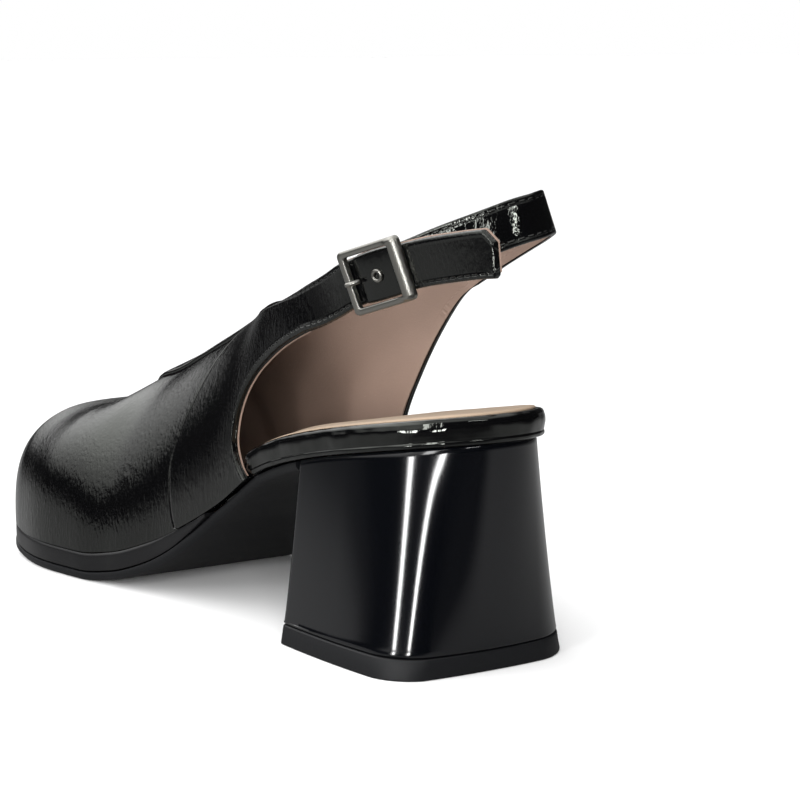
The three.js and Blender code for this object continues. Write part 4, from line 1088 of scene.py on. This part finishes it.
class SHOE_OT_buckle(Step):
    """Builds the buckle's frame, its prong and the eyelet in the strap"""
    bl_idname = "shoe.buckle"
    bl_label = "Buckle"

    def build(self, context, last, sizes, colours):
        strap = StrapLine(last, STRAP)
        centre, along, up, out = strap.at(buckle_run(strap))
        basis = np.array([along, up, out])

        def place(points):
            return centre + np.asarray(points, float) @ basis

        inner_half, outer_half, floor = 12.8 / 2 + 0.7, 12.8 / 2 + 2.6, 1.6
        outer = rounded_path(((-11, -outer_half), (11, outer_half)), 1.5)
        inner = rounded_path(((-11 + 2.3, -inner_half), (11 - 3.8, inner_half)), 0.7)
        rows = []
        for a, b in zip(inner, outer):
            broad = float(ease((a[0] + b[0]) / 2, 6.0, 8.6))
            line = []
            for t, z in ((0, 0.3), (0, 1.4 + 0.3 * broad), (0.03, 1.62 + 0.45 * broad), (0.1, 1.78 + 0.5 * broad),
                         (0.2, 1.86 + 0.6 * broad), (0.5, 1.9 + 0.62 * broad), (0.62, 1.88 + 0.6 * broad),
                         (0.7, 1.84 + 0.5 * broad), (0.86, 1.7 + 0.2 * broad), (0.95, 1.55 + 0.05 * broad), (1, 1.25),
                         (1, 0.3), (0.94, 0.08), (0.84, 0), (0.16, 0), (0.06, 0.08)):
                p = a + (b - a) * t
                line.append((p[0], p[1], floor + z))
            rows.append(place(line))
        rows.append(rows[0])
        finish(grid_at("buckle_ring", rows, closed=True), FINISH["metal"], "buckle_metal", "buckle_frame")

        bar, radius = -11 + 1.5, 0.6
        over, side = floor + 2 + 0.3 + radius, 1.4 + 0.3 + radius
        rest = 1.3 + 0.6 + radius
        path = through([(bar - 0.4, 0, over - 0.1), (bar, 0, over), (bar + side * 0.75, 0, over - 0.3),
                        (bar + side + 0.5, 0, (over + rest) / 2), (bar + side + 1.1, 0, rest)], 40)
        ahead = np.gradient(path, axis=0)
        ahead /= np.linalg.norm(ahead, axis=1)[:, None]
        rows = []
        for k, (p, d) in enumerate(zip(path, ahead)):
            share = k / 39
            r = radius * math.sqrt(max(0.02, 1 - max(0, abs(2 * share - 1) - 0.8) ** 2 / 0.04))
            normal = np.cross(d, (0, 1, 0))
            rows.append(place([p + r * (math.cos(a) * np.array([0, 1.1, 0]) + math.sin(a) * normal)
                               for a in np.linspace(0, 2 * math.pi, 25)[:-1]]))
        finish(grid_at("buckle_tongue", rows, closed=True, caps=True), FINISH["metal"], "buckle_metal", "buckle_prong")

        floor, hole, wide = 1.3 + GAP / 2 + 0.55, 0.86, 1.9
        rows = []
        for a in np.linspace(0, 2 * math.pi, 49):
            line = [(hole, floor)]
            line += [((hole + wide) / 2 - (wide - hole) / 2 * math.cos(s), floor + 0.35 + 0.5 * math.sin(s))
                     for s in np.linspace(0, math.pi, 12)]
            line += [(wide, floor)]
            rows.append(place([(r * math.cos(a), r * math.sin(a), z) for r, z in line]))
        finish(grid_at("eyelet_ring", rows, closed=True), FINISH["metal"], "buckle_metal", "strap_eyelet")


CAMERA_WAY = Vector((-0.8203, 0.5720, 0.0))
IMAGE_RIGHT = Vector((-0.5720, -0.8203, 0.0))
HEEL_CORNER = Vector((-0.026, 0.024, 0.0))


def around_heel(azimuth, distance, height):
    """A place round the heel's rear corner; azimuth 0 is towards the camera and 90 the right of the picture."""
    a = math.radians(azimuth)
    return HEEL_CORNER + (CAMERA_WAY * math.cos(a) + IMAGE_RIGHT * math.sin(a)) * distance + Vector((0, 0, height))


# Narrow lights: name, both ends, thickness and power
STRIPS = (
    ("strip_left", around_heel(-47, 0.9, 0.04), around_heel(-47, 0.9, 0.2), 0.09, 1.8),
    ("strip_right", around_heel(-17, 0.9, 0.03), around_heel(-17, 0.9, 0.19), 0.09, 1.8),
    ("strip_rim", around_heel(-32, 0.9, 0.3), around_heel(-32, 0.9, 0.75), 0.15, 2.5),
    ("strip_sling", around_heel(8, 0.9, 0.5), around_heel(32, 0.9, 0.5), 0.05, 1.3),
)
# Lights that only brighten the leather and the floor: name, place, width and power
FILLS = (("fill", (-1.1, 1.3, 0.9), 1.4, 12), ("fill_inside", (-1.15, 0.82, 0.4), 0.5, 15))


def ramp(tree, value, low, high, to_low, to_high):
    node = tree.nodes.new("ShaderNodeMapRange")
    node.interpolation_type = "SMOOTHSTEP"
    for name, v in (("From Min", low), ("From Max", high), ("To Min", to_low), ("To Max", to_high)):
        node.inputs[name].default_value = v
    tree.links.new(value, node.inputs["Value"])
    return node.outputs["Result"]


def along_way(tree, vector, way):
    node = tree.nodes.new("ShaderNodeVectorMath")
    node.operation = "DOT_PRODUCT"
    tree.links.new(vector, node.inputs[0])
    node.inputs[1].default_value = way
    return node.outputs["Value"]


def floor_material(colours):
    """White paper; its colour in reflections is painted shade: dimmer further from the shoe and darkest in a wedge
    towards the camera.
    """
    material = bpy.data.materials.new("Floor")
    tree, shader = node_tree(material)
    shader.inputs["Roughness"].default_value = 0.9
    shader.inputs["Specular IOR Level"].default_value = 0.0
    coords = tree.nodes.new("ShaderNodeTexCoord")
    toward = along_way(tree, coords.outputs["Object"], CAMERA_WAY)
    way = tree.nodes.new("ShaderNodeVectorMath")
    way.operation = "NORMALIZE"
    tree.links.new(coords.outputs["Object"], way.inputs[0])
    # Painted shade for reflections: a wedge of the floor towards the camera is painted darker, and the whole floor is
    # painted dimmer with distance.
    wedge = ramp(tree, along_way(tree, way.outputs[0], CAMERA_WAY), 0.62, 0.82, 0, 1)
    painted_shade_wedge = maths(tree, "MULTIPLY", ramp(tree, toward, 0.03, 0.16, 0, 1), wedge)
    away = tree.nodes.new("ShaderNodeVectorMath")
    away.operation = "LENGTH"
    tree.links.new(coords.outputs["Object"], away.inputs[0])
    far = ramp(tree, away.outputs["Value"], 0.2, 1.0, 0.27, 0.08)
    seen = maths(tree, "MULTIPLY", far, maths(tree, "SUBTRACT", 1.0, maths(tree, "MULTIPLY", painted_shade_wedge, 0.85)))
    # Glossy rays see this painted dim colour of the floor; all other rays see the white paper.
    path = tree.nodes.new("ShaderNodeLightPath")
    mix = tree.nodes.new("ShaderNodeMix")
    mix.data_type = "RGBA"
    mix.inputs[6].default_value = (*colours.floor, 1)
    tree.links.new(path.outputs["Is Glossy Ray"], mix.inputs[0])
    tree.links.new(seen, mix.inputs[7])
    tree.links.new(mix.outputs[2], shader.inputs["Base Color"])
    return material


def studio_world():
    """A soft light overhead and a broad one on the far side of the toe, with a dark room low down."""
    world = bpy.data.worlds.new("Studio")
    world.use_nodes = True
    tree = world.node_tree
    tree.nodes.clear()
    out = tree.nodes.new("ShaderNodeOutputWorld")
    light = tree.nodes.new("ShaderNodeBackground")
    light.inputs["Color"].default_value = (1, 1, 1, 1)
    coords = tree.nodes.new("ShaderNodeTexCoord")
    way = coords.outputs["Generated"]
    high = along_way(tree, way, (0, 0, 1))
    a = math.radians(-110)
    window_way = CAMERA_WAY * math.cos(a) + IMAGE_RIGHT * math.sin(a)
    across = ramp(tree, along_way(tree, way, window_way), 0.0, 0.65, 0, 1)
    window = maths(tree, "ADD", ramp(tree, high, 0.13, 0.24, 0, 0.9), ramp(tree, high, 0.22, 0.67, 0, 2.5))
    window = maths(tree, "MULTIPLY", across, window)
    overhead = ramp(tree, high, 0.5, 0.85, 0, 1.3)
    total = maths(tree, "ADD", maths(tree, "MAXIMUM", window, overhead), 0.02)
    path = tree.nodes.new("ShaderNodeLightPath")
    seen = maths(tree, "MAXIMUM", total, maths(tree, "MULTIPLY", path.outputs["Is Camera Ray"], 1.0))
    tree.links.new(seen, light.inputs["Strength"])
    tree.links.new(light.outputs[0], out.inputs["Surface"])
    return world


class SHOE_OT_stage(Step):
    """Sets the floor, the soft studio light and the camera at the photo's angle"""
    bl_idname = "shoe.stage"
    bl_label = "Floor, Lights and Camera"

    def build(self, context, last, sizes, colours):
        tidy_selection()
        bpy.ops.mesh.primitive_plane_add(size=60, location=(0, 0, 0))
        floor = context.object
        floor.name = "floor"
        floor.data.materials.append(floor_material(colours))
        context.scene.world = studio_world()
        for name, start, end, thick, power in STRIPS:
            data = bpy.data.lights.new(name, "AREA")
            data.shape = "RECTANGLE"
            data.size, data.size_y = (end - start).length, thick
            data.energy = power
            lamp = bpy.data.objects.new(name, data)
            context.collection.objects.link(lamp)
            side = (end - start).normalized()
            middle = (start + end) / 2
            away = middle - HEEL_CORNER
            away = (away - side * away.dot(side)).normalized()
            turn = Matrix((side, away.cross(side), away)).transposed().to_4x4()
            lamp.matrix_world = Matrix.Translation(middle) @ turn
            lamp.visible_camera = False
        for name, spot, wide, power in FILLS:
            data = bpy.data.lights.new(name, "AREA")
            data.size = wide
            data.energy = power
            lamp = bpy.data.objects.new(name, data)
            context.collection.objects.link(lamp)
            lamp.location = spot
            lamp.rotation_euler = (Vector((0.1, 0, 0.05)) - lamp.location).to_track_quat("-Z", "Y").to_euler()
            lamp.visible_camera = lamp.visible_glossy = False
        data = bpy.data.cameras.new("camera")
        data.sensor_width = 36
        data.lens = 109.85
        data.clip_start = 0.01
        camera = bpy.data.objects.new("camera", data)
        context.collection.objects.link(camera)
        yaw, pitch, roll = -0.608886, -0.143816, -0.005052
        look = Vector((math.cos(yaw) * math.cos(pitch), math.sin(yaw) * math.cos(pitch), math.sin(pitch)))
        right = look.cross(Vector((0, 0, 1))).normalized()
        up = right.cross(look)
        level_right = right * math.cos(roll) + up * math.sin(roll)
        level_up = up * math.cos(roll) - right * math.sin(roll)
        turn = Matrix((level_right, level_up, -look)).transposed().to_4x4()
        camera.matrix_world = Matrix.Translation((-0.546553, 0.390587, 0.167919)) @ turn
        context.scene.camera = camera
        context.scene.view_settings.view_transform = "Standard"


class SHOE_PT_steps(Panel):
    bl_label = "Slingback Pump"
    bl_idname = "SHOE_PT_steps"
    bl_space_type = "VIEW_3D"
    bl_region_type = "UI"
    bl_category = "Shoe"

    def draw(self, context):
        for group in (context.scene.shoe_sizes, context.scene.shoe_colours):
            column = self.layout.column(align=True)
            for key in type(group).__annotations__:
                column.prop(group, key)
        column = self.layout.column()
        for step in STEPS:
            column.operator(step.bl_idname)


STEPS = (SHOE_OT_sole, SHOE_OT_heel, SHOE_OT_seat, SHOE_OT_vamp, SHOE_OT_medial_quarter, SHOE_OT_lateral_quarter,
         SHOE_OT_buckle, SHOE_OT_stage)
CLASSES = (ShoeSizes, ShoeColours, *STEPS, SHOE_PT_steps)


def register():
    for cls in CLASSES:
        bpy.utils.register_class(cls)
    bpy.types.Scene.shoe_sizes = PointerProperty(type=ShoeSizes)
    bpy.types.Scene.shoe_colours = PointerProperty(type=ShoeColours)


def unregister():
    del bpy.types.Scene.shoe_colours
    del bpy.types.Scene.shoe_sizes
    for cls in reversed(CLASSES):
        bpy.utils.unregister_class(cls)


def main():
    register()
    scene = bpy.context.scene
    make_materials(scene.shoe_sizes, scene.shoe_colours)
    for step in STEPS:
        family, name = step.bl_idname.split(".")
        result = getattr(getattr(bpy.ops, family), name)()
        if result != {"FINISHED"}:
            raise RuntimeError(step.bl_idname)


if __name__ == "__main__":
    main()
